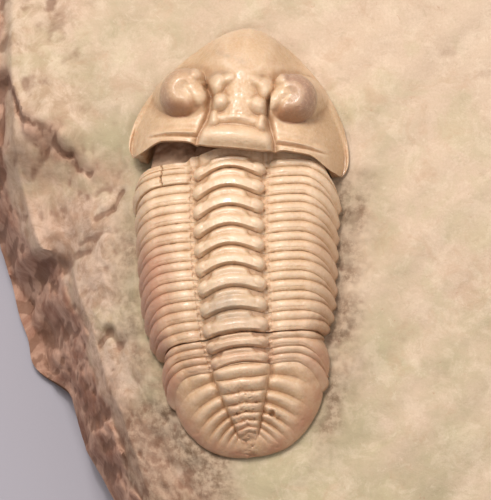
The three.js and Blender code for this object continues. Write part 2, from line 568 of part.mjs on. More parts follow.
// The stone's outline round its middle, roughly oblong with a broken left rear corner
function stoneOutline(angle) {
  const c = Math.cos(angle);
  const s = Math.sin(angle);
  const { half, longer, power } = STONE_BOX;
  const box = half / (Math.abs(c) ** power + Math.abs(s / longer) ** power) ** (1 / power);
  const cut = STONE_CUT.distance / Math.max(0.05, STONE_CUT.way[0] * c + STONE_CUT.way[1] * s);
  const bulge = STONE_BULGES.reduce((sum, b) => sum + b.out * bell(angle / DEG - b.angle, b.width), 0);
  const ripples = STONE_RIPPLES.map(([size, waves, turn]) => size * Math.sin(waves * angle + turn));
  const ripple = ripples.reduce((sum, value) => sum + value, 1);
  const soft = (box ** -8 + Math.min(cut, 200) ** -8) ** (-1 / 8);
  return new THREE.Vector2(c, s).multiplyScalar(soft * ripple + bulge);
}

function matrix(footprints) {
  const angles = Array.from({ length: STONE_SPOKES }, (_, i) => (i / STONE_SPOKES) * 2 * Math.PI);
  const rim = angles.map(stoneOutline);
  const box = new THREE.Box2().setFromPoints(rim);
  const size = box.getSize(new THREE.Vector2());
  const mid = box.getCenter(new THREE.Vector2());
  rim.forEach((p) => p.sub(mid).multiply(new THREE.Vector2(STONE_WIDTH / size.x, STONE_LENGTH / size.y)));
  const middle = new THREE.Vector2(ANIMAL_AT.x, ANIMAL_AT.y);
  const shelf = rim.map((p) => {
    const way = p.clone().sub(middle).normalize();
    const reach = footprints.reduce((far, q) => {
      const along = q.dot(way);
      const aside = Math.abs(q.cross(way));
      return along > 0 && aside < 1.6 ? Math.max(far, along) : far;
    }, 0);
    return way.multiplyScalar(reach + 0.9);
  });
  const heightAt = (p, near) => {
    const h = stoneHeight(p.x, p.y);
    return clamp(h * near, 0.8 - STONE_THICKNESS, 1.2);
  };
  const points = [new THREE.Vector3(0, 0, 0)];
  const faces = [];
  const loops = [shelf.map((p) => new THREE.Vector3(p.x, p.y, 0))];
  for (const share of STONE_RINGS) {
    loops.push(shelf.map((p, i) => {
      const edge = rim[i].clone().sub(middle);
      const q = p.clone().lerp(edge, share);
      const height = heightAt(q, step(0, 0.12, share));
      const worn = 1.1 * step(0.86, 1, share) * step(1 - STONE_THICKNESS, 3 - STONE_THICKNESS, height);
      return new THREE.Vector3(q.x, q.y, height - worn);
    }));
  }
  const edge = loops.at(-1);
  for (const share of STONE_SIDES) {
    loops.push(edge.map((p, i) => {
      const bulge = 1 - 0.02 * (1 + Math.sin(3 * i + 4 * share)) * Math.sin(Math.PI * share);
      return new THREE.Vector3(p.x * bulge, p.y * bulge, lerp(p.z, -STONE_THICKNESS, share));
    }));
  }
  const ids = loops.map((loop) => loop.map((p) => points.push(p) - 1));
  const under = points.push(new THREE.Vector3(0, 0, -STONE_THICKNESS)) - 1;
  const spokes = STONE_SPOKES;
  for (let i = 0; i < spokes; i += 1) {
    const j = (i + 1) % spokes;
    faces.push(0, ids[0][i], ids[0][j]);
    for (let k = 0; k < ids.length - 1; k += 1) {
      faces.push(ids[k][i], ids[k + 1][i], ids[k + 1][j], ids[k][i], ids[k + 1][j], ids[k][j]);
    }
    faces.push(ids.at(-1)[i], under, ids.at(-1)[j]);
  }
  return outwards(points, faces);
}

// Stone fills the hollow between the head shield and the first segment
function infill() {
  const across = bothSides([...SEGMENT_COLUMNS.filter((column) => column <= FULCRUM_SHARE), INFILL_END]);
  const grid = [0, 0.5, 1].map((forward) => across.map((a) => {
    const rear = thoraxPoint(a, thoraxFront(a), 0);
    rear.y += HAIRLINE;
    const q = rear.clone().applyMatrix4(headBack);
    q.y = headRearAt(q.x) + headOverhang(q.x) - 2 * HAIRLINE;
    const front = q.applyMatrix4(headPlace);
    const p = rear.clone().lerp(front, forward);
    return p.setZ(Math.max(INFILL_LOW, rear.z - lerp(INFILL_DIP, 2 * INFILL_DIP, forward)));
  }));
  return solidUnder(grid, [downTo(-INFILL_DIP)]);
}

// Joins two closed geometries
const wasm = await Module();
wasm.setup();
function joined(a, b) {
  const [first, second] = [a, b].map((geometry) => {
    const merged = mergeVertices(geometry, 1e-5);
    return new wasm.Manifold(new wasm.Mesh({
      numProp: 3,
      vertProperties: new Float32Array(merged.attributes.position.array),
      triVerts: new Uint32Array(merged.index.array),
    }));
  });
  const mesh = first.add(second).getMesh();
  const geometry = new THREE.BufferGeometry();
  geometry.setAttribute('position', new THREE.BufferAttribute(new Float32Array(mesh.vertProperties), 3));
  geometry.setIndex(new THREE.BufferAttribute(new Uint32Array(mesh.triVerts), 1));
  return geometry;
}

// The pieces

const shell = (color) => new THREE.MeshStandardMaterial({ color, roughness: 0.45, metalness: 0 });
const rock = new THREE.MeshStandardMaterial({ color: 0xc9b597, roughness: 0.85, metalness: 0 });

const animal = new THREE.Group();
animal.position.copy(ANIMAL_AT);
const footprints = [];
function add(name, geometry, material) {
  const mesh = new THREE.Mesh(geometry, material);
  mesh.name = name;
  animal.add(mesh);
  const position = geometry.attributes.position;
  for (let i = 0; i < position.count; i += 1) {
    footprints.push(new THREE.Vector2(position.getX(i), position.getY(i)));
  }
}

add('cephalon', cephalon(), shell(0xc8a07c));
for (let number = 1; number <= SEGMENTS; number += 1) {
  add(`thorax_segment_${String(number).padStart(2, '0')}`, thoraxSegment(number), shell(0xcda682));
}
add('pygidium', pygidium(), shell(0xc99c78));

const stone = new THREE.Mesh(joined(matrix(footprints), infill()), rock);
stone.name = 'matrix';
animal.add(stone);

const part = new THREE.Group();
part.add(animal);

export default part;
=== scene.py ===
"""The looks of a trilobite fossil on its piece of limestone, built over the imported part.

Shapes are worked out in millimetres in the animal's own frame: +Y towards its head, z = 0 at the level it
lies on. They are turned into metres in the part's frame when their meshes are made.
"""

import bmesh
import bpy
import numpy as np
from mathutils import Matrix, Vector
from mathutils.kdtree import KDTree


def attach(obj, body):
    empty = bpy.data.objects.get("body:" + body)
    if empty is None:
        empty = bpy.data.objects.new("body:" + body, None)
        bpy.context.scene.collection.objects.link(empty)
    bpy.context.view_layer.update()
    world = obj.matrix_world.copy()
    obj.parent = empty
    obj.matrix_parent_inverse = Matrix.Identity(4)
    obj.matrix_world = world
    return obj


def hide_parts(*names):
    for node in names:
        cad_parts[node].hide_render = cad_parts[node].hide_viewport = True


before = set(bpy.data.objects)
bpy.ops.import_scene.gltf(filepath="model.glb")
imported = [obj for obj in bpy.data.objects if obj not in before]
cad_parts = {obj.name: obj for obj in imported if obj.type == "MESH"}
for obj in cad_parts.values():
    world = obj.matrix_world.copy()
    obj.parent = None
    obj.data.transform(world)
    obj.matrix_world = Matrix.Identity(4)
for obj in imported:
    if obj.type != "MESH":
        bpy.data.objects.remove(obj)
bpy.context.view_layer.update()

MM = 0.001
DEG = np.pi / 180
STONE_WIDTH = 48
STONE_LENGTH = 54
STONE_THICKNESS = 16
ANIMAL_AT = np.array([-1.5, 0, STONE_THICKNESS])
HAIRLINE = 0.02
UNDERSIDE = 0.1

# The thorax, from the head end (0) to the tail end (11), as [station, value] pairs
SEGMENTS = 11
MIDDLE_X = [[0, -0.05], [2, -0.19], [5, -0.04], [8, 0.3], [11, 0.68]]
MIDDLE_Y = [[-0.5, 7.65], [0, 6.95], [1, 5.5], [3, 2.47], [6, -2.1], [9, -6.76], [10, -7.88], [11, -9.05]]
# Where the first segment starts: over the axis and at its right, and at its left
FRONT_MIDDLE = -0.5
FRONT_LEFT = -0.15
TURN = [[0, 2.6], [3, 4.8], [6, 4.5], [9, 5.7], [11, 7]]
HALF_WIDTH = [[0, 7.95], [3, 7.75], [6, 7.45], [8, 6.95], [9, 6.35], [10, 6.4], [11, 5.75]]
LEFT_NARROWER = [[0, 0.15], [2, 0.12], [4, 0.1], [6, 0.03], [8, 0.1], [9, 0.25], [10, 0], [11, 0]]
AXIS_HALF = [[0, 2.95], [6, 2.85], [9, 2.65], [11, 2.3]]
CREST = [[0, 5.15], [3, 5.65], [6, 5.8], [9, 5.35], [11, 4.5]]
ARCH = [[0, 0.4], [1, 0.85], [3, 0.8], [6, 0.72], [8, 0.4], [9, 0.2], [11, 0.25]]
SWEEP_RIGHT = [[0, 2.8], [1, 2.65], [3, 2.2], [6, 1.65], [8, 0.65], [9, 0], [10, 2], [11, 2.2]]
SWEEP_LEFT = [[0, 1.3], [1, 1.5], [3, 1.9], [6, 2.1], [8, 1.55], [9, 0.6], [10, 1.9], [11, 2]]
AXIS_DROP = 1.15
PLEURA_BULGE = 0.3
PLEURA_DROP = 0.3
TIP_HEIGHT = 0.4
FULCRUM = 0.76
AXIS_SHARE = 0.36
FULCRUM_SHARE = 0.66
SWEEP_SHARE = 0.6
SWEEP_POWER = 1.75
FLANK_START = 0.11
FLANK_TURN = 1.45
SLOPE_REACH = 0.004

# The relief of one segment: along it from its front (0) to its rear (1), and across the axis from its middle
# (0) to its furrow (1)
RING_RELIEF = 0.44
RING = {"low": -0.66, "rise": 0.42, "fall": 1.1}
RING_GROOVE = (0.4, 0.09, 0.09)
RING_SIDE = {"low": -0.95, "rise": 1.2}
KNOB = {"low": -0.85, "height": 1.4, "merge": 0.2}
KNOB_AT = {"out": 0.785, "half_width": 0.225, "along": 0.61, "half_length": 0.4}
PLEURA_RELIEF = 0.17
PLEURA_GROOVE = (0.45, 0.1)
BAND_SUNK = 0.55
BAND_POWERS = (0.6, 0.65)
FRONT_BAND_FADE = 0.5
FINE_LINE = (0.83, 0.035, 0.14)
FLANK_STRONGER = 1.1
AXIS_FURROW = (0.004, 0.013, 0.05)
# A painted highlight along the furrow beside the axis: its place, half width and strength. It only lightens
# the colour
FURROW_HIGHLIGHT = (0.004, 0.022, 0.2)
BEADS = {"per_segment": 3, "height": 0.1, "half_width": 0.008}

# The break across the thorax, and the first plate's left half with its crack
BREAK_STATION = 9
BREAK_GAP = 0.03
BREAK_WANDER = 0.035
PLATE_RISE = 0.17
THIRD_BAND = (0.16, 0.035, 0.12)
CRACK = {"across": -0.6, "width": 0.005, "depth": 0.3}

# The head shield, in its own frame: y = 0 at the middle of its rear margin
HEAD_AT = np.array([0.06, 7.62, 0.62])
HEAD_TURN = -6
HEAD_ROLL = 4.5
HEAD_HALF = 8.55
HEAD_LENGTH = 10.4
HEAD_WIDEST_Y = 0.8
HEAD_CORNER = (7.75, -0.5)
HEAD_POWERS = (1.5, 1.7)
HEAD_MARGIN_SIDE = 0.25
HEAD_MARGIN_FRONT = 1
HEAD_RIM = 0.5
HEAD_OVERHANG = 0.9
AXIAL_FURROW = [[0, 3.08], [0.9, 2.92], [1.45, 2.72], [2.2, 2.44], [3, 2.28], [3.7, 2.27], [4.3, 2.45],
                [4.9, 2.74], [5.4, 3.05], [5.8, 3.4], [6.6, 4.4]]
# The dome without its lobes: half the width of the cheeks, their height, and the middle's height and spread
HEAD_DOME = {"half": 8.2, "cheek_height": 5, "cheek_rim": 0.15, "middle_top": 5.9, "middle_spread": 3.4}
FRONTAL_HEIGHT = 0.66
HEAD_FURROW_DEPTH = 0.6
# Soft ridges and furrows of the head, each with its place, its half width and its height
POCKET = (2.3, 0.3, 0.14)
LEDGE = (5.98, 0.1, 0.03)
REAR_FURROWS = [(0.72, 0.1, 0.26), (1.35, 0.25, 0.12)]
REAR_RIDGE = (0.98, 0.1, 0.22)
BORDER_RIDGES = [(0.95, 0.06, 0.1), (0.86, 0.05, 0.1)]

# How full a round swelling is. The smaller the power, the flatter its top and the steeper its foot
FULL = 0.6
ROUND = 0.85
SOFT = 1.1

# The lobes at each side of the glabella, each a swelling round a line: the line's ends as outwards and
# forwards, the swelling's radius and height, and how full it is
LOBES = [
    ((2.08, 4.72), (1.86, 5.14), 0.92, 1.22, ROUND),
    ((1.85, 5.12), (0.9, 5.5), 0.8, 0.95, SOFT),
    ((1.62, 3.42), (1.42, 3.5), 0.86, 1.18, ROUND),
    ((1.4, 3.5), (0.8, 3.65), 0.6, 0.7, SOFT),
    ((1.95, 2.36), (1.86, 1.9), 0.6, 0.88, ROUND),
    ((1.8, 2.14), (-0.1, 2.36), 0.6, 0.62, SOFT),
]
LOBE_MERGE = 0.22
LOBE_SINK = 0.16
PLATEAU = {"height": 0.7, "rear": 1.98}
SIDE_FURROWS = [(2.85, 0.24, 0.4), (4.2, 0.22, 0.4)]
OCCIPITAL = {"half": 2.98, "front": 1.86, "rear": -0.05, "bend": 0.05, "height": 0.86}

# An eye: its middle, how it leans and is stretched, where its wall starts and ends, its height and its fall
EYE = {
    "x": 4.185, "y": 4.38, "lean": 0.037, "stretch": 1.08,
    "crest": 0.5, "foot": 1.86, "top": 6.14, "wall": 2.3,
}
EYE_SHIFT = -0.235
# The round ends of the C that an eye makes: outwards and forwards from its middle, the radius, how far below
# the eye's top, and how much lower at the rim
EYE_ENDS = [(-0.72, 1, 0.76, 0.06, 1.7), (-0.46, -0.96, 0.86, 0.1, 1.9)]
EYE_MERGE = 0.22
EYE_GROOVE_DROP = 0.9
STEEP = 4
EYE_BOWL = {"radius": 0.8, "depth": 0.14}
# The tongue of the cheek inside the C, as places that it runs through from the eye's middle
TONGUE = [(-0.6, 0.2), (-1.12, -0.45), (-0.95, -2.1)]
TONGUE_ROUND = 0.75
# The soft groove between an eye and the cheek inside it, as [forwards, outwards] pairs from the eye's middle
EYE_GROOVE = [
    [-3, -2.4], [-1.2, -1.1], [-0.78, -0.84], [-0.4, -0.42], [0.04, -0.12], [0.34, -0.22],
    [0.52, -0.78], [0.66, -1.45], [0.8, -3.2],
]

# The tail shield, in its own frame: y = 0 at the middle of its front margin
TAIL_TURN = 5
TAIL_LENGTH = 6.35
TAIL_HALF = 5.55
TAIL_AXIS_LENGTH = 5.3
TAIL_AXIS_REAR = (-0.12, 0.62)
TAIL_FIRST_RING = 0.65
TAIL_RING_REACH = 6.9
TAIL_RING_RATIO = 0.875
TAIL_MARGIN = 0.4
TAIL_RING_ARCH = 0.5
TAIL_RING_RELIEF = 0.46
TAIL_RIB_RELIEF = 0.44
TAIL_FURROW_DEPTH = 0.2
CRATER = {"x": 2.93, "y": -12.4, "rim": 0.33, "rise": 0.1, "depth": 0.16}

# How many points the grids have, across and along
THORAX_POINTS = (361, 41)
FIRST_SEGMENT_ROWS = 64
HEAD_POINTS = (391, 241)
TAIL_POINTS = (301, 201)
PIT_DEPTH = 0.02


# Plain shape functions


def at(pairs, s):
    """The value at a place in a list of [place, value] pairs, on straight lines between them."""
    return np.interp(s, [p[0] for p in pairs], [p[1] for p in pairs])


def lerp(a, b, t):
    return a + (b - a) * t


def step(low, high, v):
    """A soft step from 0 to 1, or down again where low is above high."""
    t = np.clip((v - low) / (high - low), 0, 1)
    return t * t * (3 - 2 * t)


def bell(d, width):
    """1 where d is 0, fading to nothing at about twice the width."""
    return np.exp(-((d / width) ** 2))


def ridge(v, shape):
    """A soft ridge of a shape that is given as its place along v, its half width and its height."""
    middle, width, height = shape
    return height * bell(v - middle, width)


def union(a, b, soft):
    """The larger of two heights, with a rounded valley where they meet."""
    h = np.clip(0.5 + 0.5 * (a - b) / soft, 0, 1)
    return lerp(b, a, h) + soft * h * (1 - h)


def mound(q, power):
    """A round swelling, 1 high where q is 0 and nothing from 1 on."""
    return np.maximum(0, 1 - q * q) ** power


def capsule(x, y, x0, y0, x1, y1):
    """The distance from a line between two points, and how far along it that is."""
    dx, dy = x1 - x0, y1 - y0
    t = np.clip(((x - x0) * dx + (y - y0) * dy) / (dx * dx + dy * dy), 0, 1)
    return np.hypot(x - lerp(x0, x1, t), y - lerp(y0, y1, t)), t


def lattice(ix, iy, iz, seed):
    """A fixed scatter of values from -1 to 1 at whole-number places."""
    n = (ix * 374761393 + iy * 668265263 + iz * 1103515245 + seed * 144665) & 0xFFFFFFFF
    n = ((n ^ (n >> 13)) * 1274126177) & 0xFFFFFFFF
    return ((n ^ (n >> 16)) & 0xFFFF) / 32767.5 - 1


def noise(points, size, seed):
    """Smooth noise from -1 to 1, in lumps of about that size."""
    q = points / size
    base = np.floor(q).astype(np.int64)
    t = q - base
    t = t * t * (3 - 2 * t)
    total = 0
    for corner in range(8):
        bits = np.array([corner & 1, corner >> 1 & 1, corner >> 2 & 1])
        weight = np.where(bits, t, 1 - t).prod(-1)
        cell = base + bits
        total = total + weight * lattice(cell[..., 0], cell[..., 1], cell[..., 2], seed)
    return total


def rough(points, size, octaves, seed):
    """Noise of several sizes, each half as large and half as strong as the one before."""
    return sum(0.5**i * noise(points, size / 2**i, seed + i) for i in range(octaves))


def uneven(amount, points, base, sway, size, seed):
    """An amount from 0 to 1 that noise makes stronger and weaker from place to place."""
    return np.clip(amount * (base + sway * rough(points, size, 3, seed)), 0, 1)


# Surfaces as grids of points, and what is measured on them


def on_flat(x, y):
    return np.stack([x, y, 0 * x], -1)


def normals(grid):
    """The direction that each point of a grid faces, upwards on the whole."""
    n = np.cross(np.gradient(grid, axis=1), np.gradient(grid, axis=0))
    n /= np.linalg.norm(n, axis=-1, keepdims=True) + 1e-12
    return n * np.sign(n[..., 2].mean())


def blurred(grid, reach, axis):
    """A running mean, done twice, with the ends held."""
    for _ in range(2):
        ends = [(0, 0)] * grid.ndim
        ends[axis] = (reach + 1, reach)
        total = np.cumsum(np.pad(grid, ends, mode="edge"), axis=axis)
        count = grid.shape[axis]
        low = np.take(total, range(count), axis=axis)
        high = np.take(total, range(2 * reach + 1, 2 * reach + 1 + count), axis=axis)
        grid = (high - low) / (2 * reach + 1)
    return grid


def hollowness(grid, rows, columns):
    """How far each point lies below its surroundings, in millimetres; below 0 on crests."""
    around = blurred(blurred(grid, rows, 0), columns, 1)
    return ((around - grid) * normals(grid)).sum(-1)


def displaced(grid, amount):
    return grid + normals(grid) * amount[..., None]


# The thorax


def axis_vault(share):
    """The height of the axis over its furrows, from its middle (0) to a furrow (1)."""
    return AXIS_DROP * np.maximum(0, 1 - share**2.6) ** 0.6


def section(across, station):
    """Half of the cross section: the distance from the middle line, and the height."""
    share = np.abs(across)
    axis, crest = at(AXIS_HALF, station), at(CREST, station)
    half = at(HALF_WIDTH, station) - np.where(across < 0, at(LEFT_NARROWER, station), 0)
    furrow = crest - AXIS_DROP
    fulcrum = FULCRUM * half
    t1 = np.clip(share / AXIS_SHARE, 0, 1)
    t2 = np.clip((share - AXIS_SHARE) / (FULCRUM_SHARE - AXIS_SHARE), 0, 1)
    t3 = np.clip((share - FULCRUM_SHARE) / (1 - FULCRUM_SHARE), 0, 1.02)
    turn = lerp(FLANK_START, FLANK_TURN, t3)
    drop = (furrow - PLEURA_DROP - TIP_HEIGHT) / np.cos(FLANK_START)
    reach = (half - fulcrum) / (np.sin(FLANK_TURN) - np.sin(FLANK_START))
    flank = fulcrum + reach * (np.sin(turn) - np.sin(FLANK_START))
    out = np.where(share < FULCRUM_SHARE, lerp(axis, fulcrum, t2), flank)
    out = np.where(share < AXIS_SHARE, axis * t1, out)
    pleura = furrow + PLEURA_BULGE * np.sin(np.pi * t2) * (1 - t2 * t2) - PLEURA_DROP * t2 * t2
    up = np.where(share < FULCRUM_SHARE, pleura, TIP_HEIGHT + drop * np.cos(turn))
    up = np.where(share < AXIS_SHARE, furrow + axis_vault(t1), up)
    return out, up


def thorax_point(across, station, relief):
    """The place of a point of the thorax that stands relief proud of its plain form."""
    share = np.abs(across)
    side = np.where(across < 0, -1.0, 1.0)
    out, up = section(across, station)
    out_next, up_next = section(side * (share + SLOPE_REACH), station)
    out_last, up_last = section(side * np.maximum(share - SLOPE_REACH, 0), station)
    slope = np.hypot(out_next - out_last, up_next - up_last)
    lateral = side * (out - relief * (up_next - up_last) / slope)
    height = up + relief * (out_next - out_last) / slope
    arch = at(ARCH, station) * np.cos(0.5 * np.pi * np.clip(share / AXIS_SHARE, 0, 1)) ** 1.6
    beyond = np.clip((share - SWEEP_SHARE) / (1 - SWEEP_SHARE), 0, 1)
    sweep = np.where(side > 0, at(SWEEP_RIGHT, station), at(SWEEP_LEFT, station)) * beyond**SWEEP_POWER
    turn = at(TURN, station) * DEG
    forward = arch - sweep
    return np.stack([
        at(MIDDLE_X, station) + lateral * np.cos(turn) - forward * np.sin(turn),
        at(MIDDLE_Y, station) + lateral * np.sin(turn) + forward * np.cos(turn),
        height + 0 * station,
    ], -1)


def segment_relief(share, along):
    """A ring over the axis with a half ring before it and knobs at its ends, and two bands aside."""
    t = share / AXIS_SHARE
    along = np.clip(along, 0, 1)
    broad = RING["low"] - RING["low"] * step(-0.02, 0.2, along)
    broad = broad - ridge(along, RING_GROOVE) + RING["rise"] * step(0.3, 0.68, along)
    narrow = RING_SIDE["low"] + RING_SIDE["rise"] * step(0.16, 0.5, along)
    middle = lerp(broad, narrow, step(0.4, 0.64, t)) - RING["fall"] * step(0.87, 1, along)
    middle = lerp(middle, KNOB["low"], step(0.76, 0.96, t))
    aside = (t - KNOB_AT["out"]) / KNOB_AT["half_width"]
    ahead = (along - KNOB_AT["along"]) / KNOB_AT["half_length"]
    knob = KNOB["low"] + KNOB["height"] * mound(np.hypot(aside, ahead), FULL)
    on_axis = RING_RELIEF * union(middle, knob, KNOB["merge"])
    groove = lerp(*PLEURA_GROOVE, step(0.68, 1.02, share))
    front = along < groove
    band = np.sin(np.pi * np.where(front, along / groove, (along - groove) / (1 - groove)))
    band = np.maximum(band, 0) ** np.where(front, *BAND_POWERS) - BAND_SUNK
    fading = FRONT_BAND_FADE * step(0.74, 0.95, share)
    band = np.where(front, band - fading * (band + BAND_SUNK), band)
    fine_line = ridge(along, FINE_LINE) * (1 - step(0.62, 0.76, share))
    flank = 1 + FLANK_STRONGER * step(0.76, 0.98, share)
    beside = share - AXIS_SHARE
    on_pleura = PLEURA_RELIEF * lerp(-0.2, band - fine_line, step(0, 0.02, beside)) * flank
    joined = lerp(on_axis, on_pleura, step(0.98, 1.03, t))
    return joined - ridge(beside, AXIS_FURROW) + axial_beads(share, along)


def axial_beads(share, along):
    """The small beads that line the furrow beside the axis. Their paleness is a painted highlight."""
    turns = 2 * np.pi * BEADS["per_segment"] * along
    line = share - AXIS_SHARE - 0.005 + 0.003 * np.sin(turns)
    return BEADS["height"] * bell(line, BEADS["half_width"]) * np.maximum(0, 0.4 + 0.6 * np.cos(turns + 1.2))


def first_front(across):
    """Where the first segment starts: its left half starts further back."""
    right = lerp(FRONT_MIDDLE, 0, step(FULCRUM_SHARE, 0.9, across))
    left = lerp(FRONT_MIDDLE, FRONT_LEFT, step(0.36, 0.42, -across))
    return np.where(across > 0, right, left)


def thorax():
    """The top grid of each segment, and the marks of each grid's points."""
    columns, plain_rows = THORAX_POINTS
    across = np.linspace(-1, 1, columns)
    wander = rough(on_flat(across * 9, 0 * across), 1.1, 3, 40)
    grids, highlight_heights = [], []
    for number in range(1, SEGMENTS + 1):
        rows = np.linspace(0, 1, FIRST_SEGMENT_ROWS if number == 1 else plain_rows)
        a, b = np.meshgrid(across, rows)
        trim = HAIRLINE / 2 / (at(MIDDLE_Y, number - 1) - at(MIDDLE_Y, number))
        front = first_front(a) if number == 1 else trim + 0 * a
        if number == BREAK_STATION + 1:
            front = front + BREAK_GAP + BREAK_WANDER * wander
        rear = 1 - trim + 0 * a
        if number == BREAK_STATION:
            rear = rear - BREAK_GAP + BREAK_WANDER * wander
        station = number - 1 + lerp(front, rear, b)
        relief = segment_relief(np.abs(a), station - number + 1)
        if number == 1:
            relief = relief + first_plate(a, station)
        grids.append(thorax_point(a, station, relief))
        # Painted highlight: the pale line and the beads along the axial furrow are lifted out of the furrow's
        # darkening and tinted like lit crests
        furrow_highlight = ridge(np.abs(a) - AXIS_SHARE, FURROW_HIGHLIGHT)
        highlight_heights.append(furrow_highlight + axial_beads(np.abs(a), station - number + 1))
    joined = np.concatenate(grids)
    painted_highlight = 1.5 * np.concatenate(highlight_heights)
    hollow = hollowness(joined, 7, 7) - painted_highlight
    wide = hollowness(joined, 18, 18) - painted_highlight
    made, start = [], 0
    for grid in grids:
        end = start + len(grid)
        fine = 0.012 * rough(grid, 0.5, 3, 3) + pits(grid, 0.42, PIT_DEPTH, 5)
        marks = {
            "hollow": hollow[start:end],
            "wide": wide[start:end],
            "stain": thorax_stain(grid),
            "red_and_shade": thorax_red_and_shade(grid),
        }
        made.append((displaced(grid, fine), marks))
        start = end
    return made


def first_plate(across, station):
    """The left half of the first segment stands proud of the second, and has a crack."""
    proud = PLATE_RISE * step(0.37, 0.41, -across) * (1 - step(0.94, 1, station))
    line = CRACK["across"] + 0.006 * np.sin(9 * station) + 0.004 * np.sin(23 * station)
    third = ridge(station, THIRD_BAND) * step(0.4, 0.44, -across)
    third = third * (1 - step(0.8, 0.9, -across))
    return proud - third - CRACK["depth"] * bell(across - line, CRACK["width"])


def pits(points, size, depth, seed):
    """Small separate pits, none over most of the surface."""
    return -depth * step(0.42, 0.75, noise(points, size, seed))


def thorax_stain(grid):
    """The grey stain on the rings before the break, towards their middle."""
    x, y = grid[..., 0], grid[..., 1]
    return uneven(bell(y + 4.6, 2.1) * bell(x - 0.2, 2.2), grid, 0.75, 0.6, 0.9, 61)


def thorax_red_and_shade(grid):
    """Redder and darker at the flanks, most of all at the lower left, and towards the tail. The right flank's
    darkening is painted shade; the lower left is the shell's own redder colour.
    """
    x, y = grid[..., 0], grid[..., 1]
    left = 1.4 * step(-3, -6.8, x - 0.04 * y) * step(5, -3, y)
    right = 0.35 * step(4.6, 7.4, x) * step(6, 0, y)
    rear = 0.45 * step(-3, -9, y)
    return uneven(np.maximum(left, right) + rear, grid, 0.85, 0.4, 1.3, 33)


# The head


def head_outline():
    """From one rear corner round the front to the other, as points."""
    t = np.linspace(0, 90, 30) * DEG
    corner_x, corner_y = HEAD_CORNER
    rear = np.stack([lerp(corner_x, HEAD_HALF, np.sin(t)), lerp(HEAD_WIDEST_Y, corner_y, np.cos(t))], 1)
    t = np.linspace(0, 90, 400)[1:] * DEG
    reach = HEAD_LENGTH - HEAD_WIDEST_Y
    side = HEAD_HALF * np.cos(t).clip(0) ** (2 / HEAD_POWERS[0])
    front = np.stack([side, HEAD_WIDEST_Y + reach * np.sin(t) ** (2 / HEAD_POWERS[1])], 1)
    half = np.concatenate([rear, front])
    return np.concatenate([half * [-1, 1], half[:-1][::-1]])


HEAD_EDGE = head_outline()
HEAD_EDGE_AT = np.concatenate([[0], np.cumsum(np.hypot(*np.diff(HEAD_EDGE, axis=0).T))])


def head_edge(share):
    s = share * HEAD_EDGE_AT[-1]
    return np.interp(s, HEAD_EDGE_AT, HEAD_EDGE[:, 0]), np.interp(s, HEAD_EDGE_AT, HEAD_EDGE[:, 1])


def head_rear(x):
    """The rear margin of the head, which runs back at its corners."""
    out = np.abs(x)
    return 0.3 * step(2, 4, out) - 0.75 * step(5.6, 7.6, out)


def head_dome(x, share, edge):
    """The plain vault of the head, from its rear margin (share 0) to its edge (1), met at x = edge."""
    cheek = HEAD_DOME["cheek_height"] * np.maximum(0, 1 - (np.abs(x) / HEAD_DOME["half"]) ** 4.5) ** 0.8
    cheek = cheek + HEAD_DOME["cheek_rim"]
    middle = 1 - step(1.5, 4.5, np.abs(edge))
    top = lerp(cheek, HEAD_DOME["middle_top"], bell(x, HEAD_DOME["middle_spread"]))
    margin = lerp(HEAD_MARGIN_SIDE, HEAD_MARGIN_FRONT, 1 - step(2, 6, np.abs(edge)))
    power = lerp(2.2, 2.9, middle)
    return margin + (top - margin) * np.maximum(0, 1 - share**power) ** lerp(0.95, 0.62, middle)


def glabella(out, y):
    """The lobes at each side behind the frontal lobe, and the occipital ring."""
    second = ridge(y, SIDE_FURROWS[0]) * step(0.9, 1.9, out)
    third = ridge(y - 0.16 * (out - 1), SIDE_FURROWS[1]) * step(1, 2.1, out)
    bend = OCCIPITAL["bend"] * out**2
    rear = PLATEAU["rear"] - bend
    plateau = PLATEAU["height"] * (1 - step(0.3, 2.2, out))
    plateau = plateau * step(rear - 0.2, rear + 0.35, y)
    height = plateau - second - third
    for start, end, radius, top, power in LOBES:
        distance, _ = capsule(out, y, *start, *end)
        height = union(height, top * mound(distance / radius, power), LOBE_MERGE)
    front, rear = OCCIPITAL["front"] - bend, OCCIPITAL["rear"]
    ring = mound((y - (front + rear) / 2) / (front - rear) * 2 / 1.04, FULL) ** 1.4
    ring = OCCIPITAL["height"] * ring * np.maximum(0, 1 - (out / OCCIPITAL["half"]) ** 8) ** 0.5
    return union(height, ring, LOBE_MERGE) - LOBE_SINK


def eye_place(x, y):
    """A place about the middle of the nearer eye: outwards, forwards, distance and angle."""
    dx = np.abs(x - EYE_SHIFT) - EYE["x"]
    dy = (y - EYE["y"] - EYE["lean"] * x) / EYE["stretch"]
    return dx, dy, np.hypot(dx, dy), np.arctan2(dy, dx) / DEG


def dome(distance, radius, top, drop):
    """A round swelling that falls off steeply outside its radius."""
    inside = np.clip(distance / radius, 0, 1)
    return top - drop * (1 - np.sqrt(1 - inside**2)) - STEEP * np.maximum(0, distance - radius)


